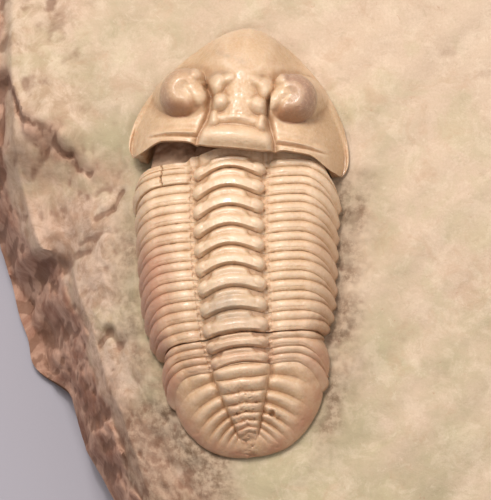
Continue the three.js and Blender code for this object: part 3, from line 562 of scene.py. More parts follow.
def eye_height(x, y):
    """A fat C, open inwards, round a tongue of the cheek. Its outer wall carries the lenses."""
    dx, dy, r, _ = eye_place(x, y)
    top, crest, foot = EYE["top"], EYE["crest"], EYE["foot"]
    w = np.clip((r - crest) / (foot - crest), 0, 1)
    wall = EYE["wall"] * (1 - np.sqrt(1 - w * w)) + STEEP * np.maximum(0, r - foot)
    groove = np.inf
    for (y0, x0), (y1, x1) in zip(EYE_GROOVE, EYE_GROOVE[1:]):
        groove = np.minimum(groove, capsule(dx, dy, x0, y0, x1, y1)[0])
    inside = np.where(dx < at(EYE_GROOVE, dy), groove, -groove)
    bowl = EYE_BOWL["depth"] * np.maximum(0, 1 - (r / EYE_BOWL["radius"]) ** 2) ** 1.5
    height = top - wall - bowl - EYE_GROOVE_DROP * step(-0.1, 0.8, inside)
    for x_end, y_end, radius, low, drop in EYE_ENDS:
        end = dome(np.hypot(dx - x_end, dy - y_end), radius, top - low, drop)
        height = union(height, end, EYE_MERGE)
    upper, _ = capsule(dx, dy, *TONGUE[0], *TONGUE[1])
    lower, fallen = capsule(dx, dy, *TONGUE[1], *TONGUE[2])
    height = union(height, dome(upper, 0.76, top - 0.08, TONGUE_ROUND), EYE_MERGE)
    lower = dome(lower, 0.74, top - 0.14 - 1.2 * fallen**1.5, TONGUE_ROUND)
    return union(height, lower, EYE_MERGE) - 0.06 * bell(groove, 0.25)


def head_height(x, y, share, edge):
    """The height of the head above its own level, with all that stands on it."""
    out = np.abs(x - 0.05)
    furrow_at = at(AXIAL_FURROW, y)
    inside = 1 - step(furrow_at - 0.3, furrow_at + 0.05, out)
    aside = step(0.6, 1.8, out)
    on_frontal = step(lerp(4.4, 5, aside), lerp(6.4, 7, aside), y - 0.06 * (out - 1.5))
    frontal = on_frontal * (1 - step(2.8, 5.8, out + 0.5 * np.maximum(0, y - 6.5)))
    low = 0.07 * (1 - on_frontal) * (1 - inside) * bell(out - 3.2, 2.2)
    furrow = HEAD_FURROW_DEPTH * bell(out - furrow_at, 0.27) * (1 - 0.9 * step(4.7, 5.6, y))
    furrow = furrow * (1 - step(5.6, 6.4, y))
    lobes = inside * glabella(out, y) * (1 - step(6, 7, y))
    relief = union(lobes, FRONTAL_HEIGHT * frontal, 0.4)
    pocket = ridge(out, POCKET) * step(1.3, 2.2, y) * step(5, 3.8, y)
    relief = relief - pocket
    ledge = ridge(y + 0.1 * out, LEDGE) * step(0.5, 1, out) * (1 - step(2.6, 3.4, out))
    plain = head_dome(x, share, edge) + relief - low - furrow - ledge
    eye_range = step(2.15, 2.35, out) * step(1.6, 2.2, y)
    height = lerp(plain, union(plain, eye_height(x, y), 0.3), eye_range)
    along_rear = step(2.95, 3.3, out)
    furrows = sum(ridge(y, shape) for shape in REAR_FURROWS)
    furrows = furrows * along_rear * (1 - step(6.2, 7.2, out))
    rear_ridge = ridge(y, REAR_RIDGE) * along_rear * (1 - step(4.8, 6.6, out))
    at_side = step(4.6, 7.4, np.abs(edge))
    rim, gutter = (ridge(share, shape) for shape in BORDER_RIDGES)
    border = (rim - gutter) * at_side
    return height - furrows + rear_ridge + border


def head_turning():
    """The turn and the roll of the head as one matrix."""
    turn, roll = HEAD_TURN * DEG, HEAD_ROLL * DEG
    about_z = np.array([[np.cos(turn), -np.sin(turn), 0], [np.sin(turn), np.cos(turn), 0], [0, 0, 1]])
    about_y = np.array([[np.cos(roll), 0, np.sin(roll)], [0, 1, 0], [-np.sin(roll), 0, np.cos(roll)]])
    return about_z @ about_y


HEAD_TURNING = head_turning()


def head_to_animal(points):
    return points @ HEAD_TURNING.T + HEAD_AT


def animal_to_head(points):
    return (points - HEAD_AT) @ HEAD_TURNING


def head():
    """The top grid of the head, from its rear margin to its edge, and the marks of its points."""
    columns, rows = HEAD_POINTS
    c, share = np.meshgrid(np.linspace(-1, 1, columns), np.linspace(0, 1, rows))
    rear_x = 7.5 * (0.8 * c + 0.2 * c**3)
    edge_x, edge_y = head_edge(lerp(0.012, 0.988, 0.5 + 0.5 * (0.85 * c + 0.15 * c**3)))
    x = lerp(rear_x, edge_x, share)
    y = lerp(head_rear(rear_x), edge_y, share)
    grid = np.stack([x, y, head_height(x, y, share, edge_x)], -1)
    out = np.abs(x)
    hollow = hollowness(grid, 5, 5)
    wide = hollowness(grid, 14, 14)
    _, _, r, around = eye_place(x, y)
    turned = 1 - step(105, 132, np.abs(around))
    within = (1 - step(1.8, 1.96, r)) * turned * step(2.3, 2.7, out)
    visual = step(0.85, 1.35, r) * within
    # The painted crest highlight and furrow shade are weakened on the eyes; the furrow's darker brown and
    # painted shade are strengthened beside them, along the axial furrow
    hollow = hollow * (1 - 0.75 * step(2.2, 1.9, r) * step(2.4, 2.9, out))
    hollow = hollow + 0.1 * bell(out - 2.25, 0.25) * step(1.4, 2.2, y) * step(4.9, 3.9, y)
    lens = lens_bumps(r, around) * visual
    # The eyes' own dark purple-brown, darker on the right eye; on the left eye painted shade darkens it
    # towards its rear
    shade_to_rear = step(40, -80, around)
    right = step(-0.5, 0.5, x)
    dark = visual * lerp(lerp(0.3, 0.8, shade_to_rear), 0.9, right) + lerp(0.22, 0.65, right) * within
    # Reddish brown on the rear and outer eye wall: partly its own colour, partly painted shade on the side
    # turned from the light
    rust_and_shade = step(-25, -75, around) * (1 - step(135, 150, np.abs(around))) * step(0.6, 1.3, r)
    rust_and_shade = rust_and_shade * (1 - step(1.8, 1.96, r)) * step(2.3, 2.7, out)
    middle = (1 - step(0.9, 1.6, out)) * step(1.8, 2.4, y) * (1 - step(5.6, 6.6, y))
    fine = 0.014 * rough(grid, 0.6, 3, 11) + pits(grid, 0.45, PIT_DEPTH, 15) + 0.02 * lens
    fine = fine + middle * 0.014 * rough(grid, 0.25, 2, 17)
    grid = displaced(grid, fine)
    # Painted highlight on the front lobe; the small even part of the pale mark is the head's own paler colour
    front = bell(x + 0.2, 1.7) * bell(y - 6.9, 1.2)
    marks = {
        "hollow": hollow,
        "wide": wide,
        "eye": np.clip(dark, 0, 1),
        "rust_and_shade": rust_and_shade,
        "stain": head_stain(grid),
        "pale": (0.03 + 0.25 * front) * (1 - np.clip(1.6 * dark, 0, 1)),
    }
    return head_to_animal(grid), marks


def lens_bumps(r, around):
    """Rows of round lenses over the outer wall of an eye, each row half a lens on from the last."""
    row = (r - 0.95) / 0.13
    column = around / 7.5 + 0.5 * (np.floor(row) % 2)
    across = np.abs(column - np.floor(column) - 0.5)
    down = np.abs(row - np.floor(row) - 0.5)
    return np.maximum(0, 1 - 3.2 * (across**2 + down**2))


def head_stain(grid):
    """Grey stains: a band across the front lobe and one before the left third lobe."""
    x, y = grid[..., 0], grid[..., 1]
    band = 0.6 * bell(y - 6.8 + 0.4 * x, 0.3) * step(-2.8, -1.8, x) * (1 - step(-0.4, 0.6, x))
    ledge = 0.7 * bell(y - 6.1 - 0.15 * x, 0.3) * bell(x + 1.9, 1.2)
    return uneven(band + ledge, grid, 0.6, 0.6, 0.7, 71)


def head_under_rim(points):
    """The lower edge of the head's rim, below the points of its border."""
    q = animal_to_head(points)
    rim = HEAD_RIM * step(0.4, 3, q[:, 2]) + 0.1
    q[:, 2] -= np.minimum(rim, q[:, 2] * 0.6)
    return head_to_animal(q)


def head_overhang(x):
    """How far the rear margin of the head stands over the hollow behind it."""
    return HEAD_OVERHANG * (1 - step(6.6, 7.6, np.abs(x)))


def head_hollow(points):
    """The foot of the head, which lies further in than its rim."""
    q = animal_to_head(points)
    q[:, 1] += head_overhang(q[:, 0]) * (1 - step(0.6, 1.6, q[:, 1]))
    q[:, 0] *= 1 - 0.05 * step(6.5, 8, np.abs(q[:, 0]))
    q[:, 1] -= 0.4 * step(8, 10, q[:, 1])
    q[:, 2] -= 0.05
    back = head_to_animal(q)
    back[:, 2] = np.maximum(back[:, 2], UNDERSIDE + 0.02)
    return back


# The tail


def tail_rings(y):
    """How many rings lie in front of a place on the axis."""
    reach = np.clip(1 - (-y - TAIL_FIRST_RING) / TAIL_RING_REACH, 0.05, 2)
    return 1 + np.log(reach) / np.log(TAIL_RING_RATIO)


def tail():
    """The top grid of the tail, from its front margin (t = 0) to its tip (1), and its points' marks."""
    turn = TAIL_TURN * DEG
    turning = np.array([[np.cos(turn), -np.sin(turn)], [np.sin(turn), np.cos(turn)]])
    middle = np.array([at(MIDDLE_X, SEGMENTS), at(MIDDLE_Y, SEGMENTS) - HAIRLINE / 2])
    columns, rows = TAIL_POINTS
    across, t = np.meshgrid(np.linspace(-1, 1, columns), np.linspace(0, 1, rows))
    side = np.where(across < 0, -1.0, 1.0)
    share = np.abs(across)

    def front_line(a):
        p = thorax_point(a, np.full_like(a, SEGMENTS), np.full_like(a, -0.05))
        p[..., 1] -= HAIRLINE / 2
        flat = (p[..., :2] - middle) @ turning
        return flat[..., 0], flat[..., 1], p[..., 2]

    corner_x, corner_y, _ = front_line(side)
    arch = at(ARCH, SEGMENTS)
    angle = t * 90 * DEG
    width = lerp(np.abs(corner_x), TAIL_HALF, np.sin(2 * angle) ** 2)
    edge_x = side * width * np.cos(angle).clip(0) ** 0.85
    edge_y = lerp(corner_y, -TAIL_LENGTH, np.sin(angle) ** 1.25)
    root = -TAIL_AXIS_LENGTH * t**1.1
    bow = 2 * share * (1 - share)
    plain_x = bow * 0.6 * edge_x + share * share * edge_x
    plain_y = (1 - share) ** 2 * root + bow * lerp(root, edge_y, 0.18) + share * share * edge_y
    from_x, from_y, from_z = front_line(across)
    near = (1 - t) ** 6
    x, y = lerp(plain_x, from_x, near), lerp(plain_y, from_y, near)
    top = lerp(at(CREST, SEGMENTS) - AXIS_DROP + 0.15, 1.5, step(0, 1.1, t))
    vault = TAIL_MARGIN + (top - TAIL_MARGIN) * np.maximum(0, 1 - share**2.6) ** 0.75
    down = np.clip(-y / TAIL_AXIS_LENGTH, 0, 1)
    axis_half = lerp(at(AXIS_HALF, SEGMENTS), TAIL_AXIS_REAR[1], down**1.1)
    fade = 1 - step(0.86, 1.02, -y / TAIL_AXIS_LENGTH)
    on_axis = np.abs(x - TAIL_AXIS_REAR[0] * down) / axis_half
    axis = axis_vault(on_axis) * lerp(1, 0.4, t) * fade
    knobbed = step(0.55, 0.85, on_axis)
    arched = TAIL_RING_ARCH * (1 - t) + arch * t
    rings = tail_rings(root + arched * (1 - np.minimum(1, on_axis) ** 2.4))
    wave = np.abs(np.sin(np.pi * rings)) ** lerp(0.75, 1.1, step(0.9, 1.1, on_axis)) - 0.5
    ring = TAIL_RING_RELIEF * wave * (1 + 0.25 * knobbed) * fade
    ring = ring * (1 - step(0.86, 1, on_axis)) * (1 - 0.6 * t)
    rib_fade = (1 - step(0.45, 1, share)) * (1 - step(0.65, 0.95, t))
    rib = TAIL_RIB_RELIEF * wave * rib_fade * step(0.95, 1.08, on_axis)
    furrow = TAIL_FURROW_DEPTH * bell(on_axis - 1, 0.14) * fade
    height = lerp(vault + axis, np.maximum(from_z, TAIL_MARGIN), near)
    height = height + (ring + rib - furrow) * (1 - (1 - t) ** 24)
    flat = np.stack([x, y], -1) @ turning.T + middle
    grid = np.concatenate([flat, height[..., None]], -1)
    worn = (1 - step(0.6, 1, on_axis)) * step(0.15, 0.6, t)
    hollow = hollowness(grid, 6, 5)
    wide = hollowness(grid, 16, 14)
    fine = 0.014 * rough(grid, 0.5, 3, 21) + pits(grid, 0.4, PIT_DEPTH, 25)
    fine = fine + worn * (0.05 * rough(grid, 0.35, 2, 27) + pits(grid, 0.26, 0.09, 29))
    from_crater = np.hypot(grid[..., 0] - CRATER["x"], grid[..., 1] - CRATER["y"])
    fine = fine + CRATER["rise"] * bell(from_crater - CRATER["rim"], 0.14)
    fine = fine - CRATER["depth"] * bell(from_crater, 0.2)
    # Redder towards the tip, at the edges and on the worn axis: the darkening down the rear slope is painted
    # shade, the edges and worn axis are the shell's own colour
    red_and_shade = 0.14 + step(0.3, 1, t) * 0.25 + 0.2 * worn + 0.65 * step(0.68, 0.98, share)
    marks = {"hollow": hollow, "wide": wide, "red_and_shade": uneven(red_and_shade, grid, 0.8, 0.5, 1.1, 31)}
    return displaced(grid, fine), marks


# The stone

# The front edge of the broken lower part as [x, y] pairs, and the ridge above the steep break as [y, x] pairs
STEP_LINE = [
    [-18.46, 16.43], [-17.69, 14.45], [-16.91, 12.32], [-14.98, 11.4], [-13.59, 10.19],
    [-12.43, 9.37], [-11.6, 8.6],
]
RIDGE_LINE = [
    [-18.2, -7], [-11.12, -9.34], [-9.29, -10.35], [-6.44, -11.2], [-4.07, -11.82], [-2.01, -12.75],
    [-0.2, -13.2], [1.2, -13.67], [2.1, -14.9], [2.47, -16.07], [4.6, -16.9], [8, -17.8],
]
STEP_ENDS = (-15, -9.5)
STEP_DROP = 1.3
FACE_SLOPE = 1.5
LEFT_SLOPE = {"x": 7.5, "slope": 0.3}
CORNER = {"x": 3.5, "y": 14, "slope": 0.4}

# Hollows and notches of the broken left side: the two ends of each, its half width and its depth
HOLLOWS = [
    ((-16.7, 1.6), (-14.2, 1.1), 1.1, 1.5),
    ((-11.3, 4), (-9.8, 4.6), 0.35, 0.5),
    ((-9.8, 4.6), (-9.1, 6), 0.35, 0.6),
    ((-12.8, 2.4), (-10.4, 2.8), 0.4, 0.35),
    ((-11.1, -5.7), (-10.2, -5), 0.4, 0.7),
    ((-10.2, -5), (-9.3, -6.1), 0.4, 0.7),
    ((-17.4, -2.6), (-14.6, -3), 1.3, 1),
]

# The outline of the stone before it is scaled: its half width, its shape, the cut across its left rear
# corner and how sharp its ends are, and the bulges of its broken side by angle, half width and height
OUTLINE = {"half": 25, "longer": 1.12, "squareness": 5, "cut": 19.4, "cut_way": (0.879, 0.476), "corner": 8}
BULGES = [(183, 7, 0.9), (193, 5, 0.8), (204, 6, -0.5)]
LOWEST = 0.8
HIGHEST = 1.2
EDGE_WEAR = 1.1
SIDE_HOLLOW = 1.1
FRESH_RIGHT = 0.5
FRESH_LEFT = 0.4
SPOKES = 460
SPOKE_BLUR = 6
UNDER_ANIMAL = 0.75
RINGS = 150
SIDE_RINGS = 40

# The rock between the head and the first segment, which runs this far to each side of the middle
INFILL_END = 0.72
INFILL_LOW = 0.6
INFILL_FOOT = -0.8
INFILL_BROKEN = 0.7


def beyond_step(x, y):
    """How far a place lies behind the edge of the step."""
    return 0.75 * (at(STEP_LINE, x) - y)


def step_share(x):
    """How much of the step's height is left: it runs out towards the animal."""
    return 1 - step(*STEP_ENDS, x)


def beyond_ridge(x, y):
    """How far a place lies out from the ridge over the steep left face."""
    return 0.94 * (at(RIDGE_LINE, y) - x)


def beyond_corner(x, y):
    """How far a place lies out towards the left rear corner."""
    return -0.8 * (x + CORNER["x"]) - 0.6 * (y + CORNER["y"])


def stone_height(x, y):
    """The height of the stone round the animal, above the level it lies on."""
    waves = 0.28 * np.sin(0.45 * x + 0.8) * np.sin(0.38 * y + 0.3)
    waves = waves + 0.16 * np.sin(1.1 * x - 0.4 * y) * np.sin(0.9 * y + 1.4)
    left_slope = LEFT_SLOPE["slope"] * np.maximum(0, -x - LEFT_SLOPE["x"]) * (1 - step(7, 11, y))
    rear_slope = CORNER["slope"] * np.maximum(0, beyond_corner(x, y))
    shelf = STEP_DROP * step(-0.2, 1.3, beyond_step(x, y)) + 0.15 * np.clip(beyond_step(x, y), 0, 4)
    face = FACE_SLOPE * np.maximum(0, beyond_ridge(x, y))
    return waves - left_slope - rear_slope - step_share(x) * shelf - face


def stone_outline(angle):
    """Roughly oblong with a broken left rear corner."""
    c, s = np.cos(angle), np.sin(angle)
    power = OUTLINE["squareness"]
    box = OUTLINE["half"] / (np.abs(c) ** power + np.abs(s / OUTLINE["longer"]) ** power) ** (1 / power)
    cut_x, cut_y = OUTLINE["cut_way"]
    cut = np.minimum(OUTLINE["cut"] / np.maximum(0.05, -cut_x * c - cut_y * s), 200)
    bulge = sum(ridge(angle / DEG, shape) for shape in BULGES)
    ripple = 1 + 0.006 * np.sin(5 * angle + 1) + 0.01 * np.sin(11 * angle + 2) + 0.008 * np.sin(17 * angle)
    sharp = -OUTLINE["corner"]
    reach = (box**sharp + cut**sharp) ** (1 / sharp) * ripple + bulge
    return np.stack([c * reach, s * reach], -1)


def stone(footprint):
    """Rings of points from under the animal out to the edge and down the sides, and the points' marks."""
    angles = np.linspace(0, 2 * np.pi, SPOKES, endpoint=False)
    rim = stone_outline(angles)
    low, high = rim.min(0), rim.max(0)
    rim = (rim - (low + high) / 2) * np.array([STONE_WIDTH, STONE_LENGTH]) / (high - low)
    middle = ANIMAL_AT[:2]
    edge = rim - middle
    way = edge / np.linalg.norm(edge, axis=1, keepdims=True)
    reach = np.array([shelf_reach(footprint, w) for w in way])
    around = np.concatenate([reach[-SPOKE_BLUR:], reach, reach[:SPOKE_BLUR]])
    count = 2 * SPOKE_BLUR + 1
    reach = np.convolve(around, np.ones(count) / count, "valid")
    inner = way * UNDER_ANIMAL * reach[:, None]
    share = np.linspace(0, 1, RINGS + 1)[:, None] ** 1.2
    flat = inner + (edge - inner) * share[..., None]
    x, y = flat[..., 0], flat[..., 1]
    away = distance_from(footprint, flat)
    place = on_flat(x, y)
    broken = broken_side(x, y)
    grit_and_shadow = grit_and_shadow_band(x, y, away)
    roughness = stone_roughness(place, broken, grit_and_shadow)
    near = step(0.12, 1.1, away)
    height = stone_height(x, y) * near + roughness * step(0.1, 0.35, away)
    height = np.clip(height, LOWEST - STONE_THICKNESS, HIGHEST)
    worn = step(0.86, 1, share) * step(1 - STONE_THICKNESS, 3 - STONE_THICKNESS, height)
    height = height - EDGE_WEAR * worn * (1 + 0.35 * rough(place, 2.5, 2, 91))
    top = np.stack([x, y, height], -1)
    down = np.linspace(0, 1, SIDE_RINGS + 1)[1:, None, None]
    sides = np.repeat(top[-1:], SIDE_RINGS, axis=0)
    sides[..., 2] = lerp(sides[..., 2], -STONE_THICKNESS, down[..., 0])
    dent = 0.6 + 0.5 * rough(sides * [1, 1, 1.6], 5, 4, 95) + 0.25 * rough(sides, 1.1, 3, 97)
    inward = SIDE_HOLLOW * np.clip(dent, 0, 1.6) * np.sin(np.pi * down[..., 0]) ** 0.6
    sides[..., :2] -= way * inward[..., None]
    rows = np.concatenate([top, sides])
    only_rough = np.stack([x, y, roughness], -1)
    freshness = FRESH_RIGHT + FRESH_LEFT * step(6, -14, sides[..., 0])
    no_sides = np.zeros(sides.shape[:2])
    on_top = {
        "hollow": hollowness(only_rough, 3, 3),
        "wide": hollowness(only_rough, 8, 5),
        "broken": broken,
        "grit_and_shadow": grit_and_shadow,
        "ruddy": ruddy_side(x, y),
    }
    on_sides = {
        "hollow": no_sides,
        # The sides take the painted hollow shade as well, varied by noise
        "wide": 0.45 + 0.2 * rough(sides, 2.5, 4, 98),
        "broken": lerp(broken[-1], freshness, step(0, 0.2, down[..., 0])),
        "grit_and_shadow": no_sides,
        "ruddy": no_sides + 0.3,
    }
    marks = {key: np.concatenate([on_top[key], on_sides[key]]) for key in on_top}
    marks["across"] = rows[..., 0] / STONE_WIDTH + 0.5
    marks["along"] = rows[..., 1] / STONE_LENGTH + 0.5
    return rows, marks


def shelf_reach(footprint, way):
    """How far the animal reaches from its middle in one direction."""
    along = footprint @ way
    aside = np.abs(footprint[:, 0] * way[1] - footprint[:, 1] * way[0])
    return along[(along > 0) & (aside < 0.5)].max(initial=1)


def distance_from(points, places):
    """How far each place lies from the nearest of the points, in plan."""
    tree = KDTree(len(points))
    for number, (x, y) in enumerate(points):
        tree.insert((x, y, 0), number)
    tree.balance()
    found = [tree.find((x, y, 0))[2] for x, y in places.reshape(-1, 2)]
    return np.array(found).reshape(places.shape[:-1])


def grit_and_shadow_band(x, y, away):
    """The rough grey stone close to the animal, darkened there as the animal's painted shadow: a band at its
    right, and more at its lower left.
    """
    right = step(5, 6.5, x) * (1 - step(5.5, 8, y)) * bell(np.maximum(0, away - 0.5), 1.6)
    left = 0.6 * step(-2, -5, x) * (1 - step(2, 6, y)) * bell(np.maximum(0, away - 0.8), 1.6)
    below = 1.8 * step(1, -3, x) * step(-9.5, -12.5, y) * bell(np.maximum(0, away - 1.7), 5)
    band = np.maximum.reduce([right, left, below])
    return uneven(band, on_flat(x, y), 0.8, 0.5, 1.2, 77)


def broken_side(x, y):
    """How much of a fresh reddish break there is at a place: 1 on the steep left face."""
    place = on_flat(x, y)
    beyond = beyond_ridge(x, y) + 0.4 * rough(place, 1.5, 3, 83)
    riser = 0.85 * step_share(x - 2) * bell(beyond_step(x, y) - 0.8 + 0.5 * rough(place, 1.4, 3, 85), 1)
    below_step = 0.3 * step_share(x) * step(0.2, 1.2, beyond_step(x, y))
    rear_left = 0.35 * step(0.5, 3, beyond_corner(x, y))
    return np.maximum.reduce([step(0.4, 1.4, beyond), riser, below_step, rear_left])


def ruddy_side(x, y):
    """How reddish the stone is: along the animal's left side and at the lower left."""
    wander = 1.2 * rough(on_flat(x, y), 4, 3, 51)
    left = step(-6.8, -9.8, x + wander) * (1 - step(5, 9.5, y + wander))
    below = step(0.5, -4, x + wander + 0.3 * (y + 14)) * step(-10, -13, y)
    ledge = 0.7 * step(-10, -14, x + wander)
    return np.maximum.reduce([left, below, ledge])


def stone_roughness(place, broken, grit_and_shadow):
    """How far the surface of the stone stands off its plain form."""
    x, y = place[..., 0], place[..., 1]
    soft = 0.07 * rough(place, 1.6, 4, 81) + 0.3 * ruddy_side(x, y) * rough(place, 2.1, 5, 82)
    coarse = 0.5 * np.minimum(broken, 0.5) * rough(place * [1, 0.7, 1], 1.7, 5, 84)
    lumps = step(0.5, 1, broken) * (0.9 * rough(place, 3.4, 5, 87) + 0.5 * rough(place, 1.1, 4, 88))
    grit = grit_and_shadow * (0.13 * rough(place, 0.8, 3, 93) + 0.07 * np.abs(noise(place, 0.3, 94)))
    total = soft + coarse + lumps + grit
    for start, end, width, depth in HOLLOWS:
        d, _ = capsule(x, y, *start, *end)
        total = total - 0.7 * depth * bell(d * (1 + 0.4 * noise(place, 0.8, 89)), width)
    return total


def infill():
    """The rock between the head shield and the first segment."""
    across = np.linspace(-INFILL_END, INFILL_END, 161)
    rear = thorax_point(across, first_front(across), 0 * across)
    rear[:, 1] += 0.1
    q = animal_to_head(rear)
    q[:, 1] = head_rear(q[:, 0]) + head_overhang(q[:, 0]) - 0.2
    front = head_to_animal(q)
    forward = np.linspace(0, 1, 25)[:, None, None]
    grid = lerp(rear, front, forward)
    grid[..., 2] = np.maximum(INFILL_LOW, rear[:, 2] - lerp(0.8, 1.6, forward[..., 0]))
    inside = np.sin(np.pi * forward[..., 0]) > 0.2
    grid[..., 2] += 0.16 * inside * rough(grid, 0.6, 3, 99)
    return grid


# Meshes

SHARP_ANGLE = 48
RIM_SHADE = 0.15


def closed(rows, loops_under, seam=False):
    """Points, faces and cap of a closed solid: a top grid, the loops under its border, and a flat cap.

    With a seam the last row of the grid is folded in the middle, and its two halves are joined.
    """
    count_r, count_c = rows.shape[:2]
    points = [rows.reshape(-1, 3)]
    ids = np.arange(count_r * count_c).reshape(count_r, count_c)
    if seam:
        half = (count_c - 1) // 2
        ids[-1, :half] = ids[-1, count_c - 1 : count_c - 1 - half : -1]
    quads = [np.stack([ids[:-1, :-1], ids[:-1, 1:], ids[1:, 1:], ids[1:, :-1]], -1).reshape(-1, 4)]
    rear = [] if seam else ids[-1, ::-1][1:-1]
    right = ids[1:-1, -1] if seam else ids[1:, -1]
    left = ids[1:, 0][::-1]
    loop = np.concatenate([ids[0], right, rear, left]).astype(int)
    used = count_r * count_c
    current = rows.reshape(-1, 3)[loop]
    for lower in loops_under:
        current = lower(current)
        following = np.arange(used, used + len(loop))
        turned = np.roll(loop, -1)
        quads.append(np.stack([loop, following, np.roll(following, -1), turned], -1))
        points.append(current)
        used += len(loop)
        loop = following
    return np.concatenate(points), np.concatenate(quads), loop[::-1]


def down_to(height):
    """A loop straight below another, at that height."""

    def lower(points):
        points = points.copy()
        points[:, 2] = height
        return points

    return lower


def closed_round(rows):
    """Points, faces and caps of a closed solid made of rings of points."""
    count_r, count_c = rows.shape[:2]
    ids = np.arange(count_r * count_c).reshape(count_r, count_c)
    beside = np.roll(ids, -1, axis=1)
    quads = np.stack([ids[:-1], beside[:-1], beside[1:], ids[1:]], -1).reshape(-1, 4)
    return rows.reshape(-1, 3), quads, [ids[0][::-1], ids[-1]]


def mesh_object(name, points, quads, caps, marks, material):
    """A mesh object in metres from points in the animal's frame, with its marks as named attributes."""
    faces = [list(dict.fromkeys(quad)) for quad in quads.tolist() if len(set(quad)) > 2]
    faces += [cap.tolist() for cap in caps]
    mesh = bpy.data.meshes.new(name)
    mesh.from_pydata(((points + ANIMAL_AT) * MM).tolist(), [], faces)
    for key, values in marks.items():
        spread = np.zeros(len(points), np.float32)
        flat = np.asarray(values, np.float32).ravel()
        spread[: len(flat)] = flat
        spread[len(flat) :] = RIM_SHADE if key in ("hollow", "wide") else 0
        mesh.attributes.new(key, "FLOAT", "POINT").data.foreach_set("value", spread)
    made = bpy.data.objects.new(name, mesh)
    bpy.context.scene.collection.objects.link(made)
    clean(mesh)
    mesh.shade_smooth()
    mesh.set_sharp_from_angle(angle=SHARP_ANGLE * DEG)
    mesh.materials.append(material)
    return made


def clean(mesh):
    """Takes out the points that a folded seam leaves without a face, and turns the faces outwards."""
    work = bmesh.new()
    work.from_mesh(mesh)
    bmesh.ops.delete(work, geom=[v for v in work.verts if not v.link_faces], context="VERTS")
    inside_out = work.calc_volume(signed=True) < 0
    work.to_mesh(mesh)
    work.free()
    if inside_out:
        mesh.flip_normals()


# Materials


class Paint:
    """A procedural material in the making: its nodes, and its colour so far."""

    def __init__(self, name):
        self.made = bpy.data.materials.new(name)
        self.made.use_nodes = True
        self.tree = self.made.node_tree
        here = self.node("ShaderNodeTexCoord").outputs["Object"]
        scale = (1 / MM, 1 / MM, 1 / MM)
        self.place = self.node("ShaderNodeMapping", {"Vector": here, "Scale": scale}).outputs["Vector"]
        self.colour = None

    def feed(self, made, values):
        """Gives each input its socket or its plain value."""
        for key, value in values.items():
            if isinstance(value, bpy.types.NodeSocket):
                self.tree.links.new(value, made.inputs[key])
            else:
                made.inputs[key].default_value = value

    def node(self, kind, values=None, **settings):
        made = self.tree.nodes.new(kind)
        for key, value in settings.items():
            setattr(made, key, value)
        self.feed(made, values or {})
        return made

    def cloud(self, scale, detail=3, roughness=0.55, distortion=0):
        values = {"Vector": self.place, "Scale": scale, "Detail": detail}
        values.update({"Roughness": roughness, "Distortion": distortion})
        return self.node("ShaderNodeTexNoise", values).outputs["Fac"]

    def mark(self, name):
        return self.node("ShaderNodeAttribute", attribute_name=name).outputs["Fac"]

    def between(self, value, low, high, to_low=0, to_high=1):
        values = {"Value": value, "From Min": low, "From Max": high, "To Min": to_low, "To Max": to_high}
        return self.node("ShaderNodeMapRange", values, interpolation_type="SMOOTHSTEP").outputs["Result"]

    def maths(self, operation, a, b):
        return self.node("ShaderNodeMath", {0: a, 1: b}, operation=operation).outputs[0]

    def mix(self, factor, a, b):
        values = {6: a, 7: b, 0: factor}
        values = {key: (*v, 1) if isinstance(v, tuple) else v for key, v in values.items()}
        return self.node("ShaderNodeMix", values, data_type="RGBA", blend_type="MIX").outputs[2]

    def bump(self, height, strength, distance, under=None):
        values = {"Height": height, "Strength": strength, "Distance": distance}
        if under is not None:
            values["Normal"] = under
        return self.node("ShaderNodeBump", values).outputs["Normal"]

    def tint(self, mask, share, shade):
        """Lays a shade over the colour where the mask is, as strongly as the share says."""
        self.colour = self.mix(self.maths("MULTIPLY", mask, share), self.colour, shade)

    def patches(self, cloud, *limits):
        return self.between(self.cloud(*cloud), *limits)

    def tint_patches(self, layers):
        for cloud, limits, share, shade in layers:
            self.tint(self.patches(cloud, *limits), share, shade)

    def finish(self, values):
        self.feed(self.tree.nodes["Principled BSDF"], {"Base Color": self.colour, **values})
        return self.made


# Patches of colour: the cloud that shapes them (scale, detail, roughness, distortion), the values between
# which they fade in, how strong they are, and their colour
SHIELD_PATCHES = [
    ((0.9, 5, 0.62, 0.4), (0.42, 0.68), 0.6, (0.54, 0.31, 0.155)),
    ((5, 4, 0.65), (0.35, 0.7), 0.25, (0.86, 0.65, 0.46)),
]
# Greenish, pale and tan areas, the fine grain, pale flecks, dusky spots and reddish specks
LIMESTONE_PATCHES = [
    ((0.2, 5, 0.6, 0.8), (0.47, 0.66), 0.5, (0.5, 0.42, 0.255)),
    ((0.42, 6, 0.7, 0.5), (0.47, 0.62), 0.28, (0.82, 0.645, 0.49)),
    ((0.33, 6, 0.7, 0.8), (0.52, 0.68), 0.4, (0.49, 0.3, 0.19)),
    ((6, 5, 0.7), (0.3, 0.7), 0.3, (0.46, 0.33, 0.21)),
    ((1.2, 6, 0.75, 0.6), (0.55, 0.7), 0.22, (0.82, 0.69, 0.52)),
    ((0.9, 6, 0.78, 0.9), (0.56, 0.68), 0.35, (0.42, 0.31, 0.2)),
    ((2.1, 6, 0.72, 0.3), (0.63, 0.72), 0.55, (0.42, 0.2, 0.13)),
]


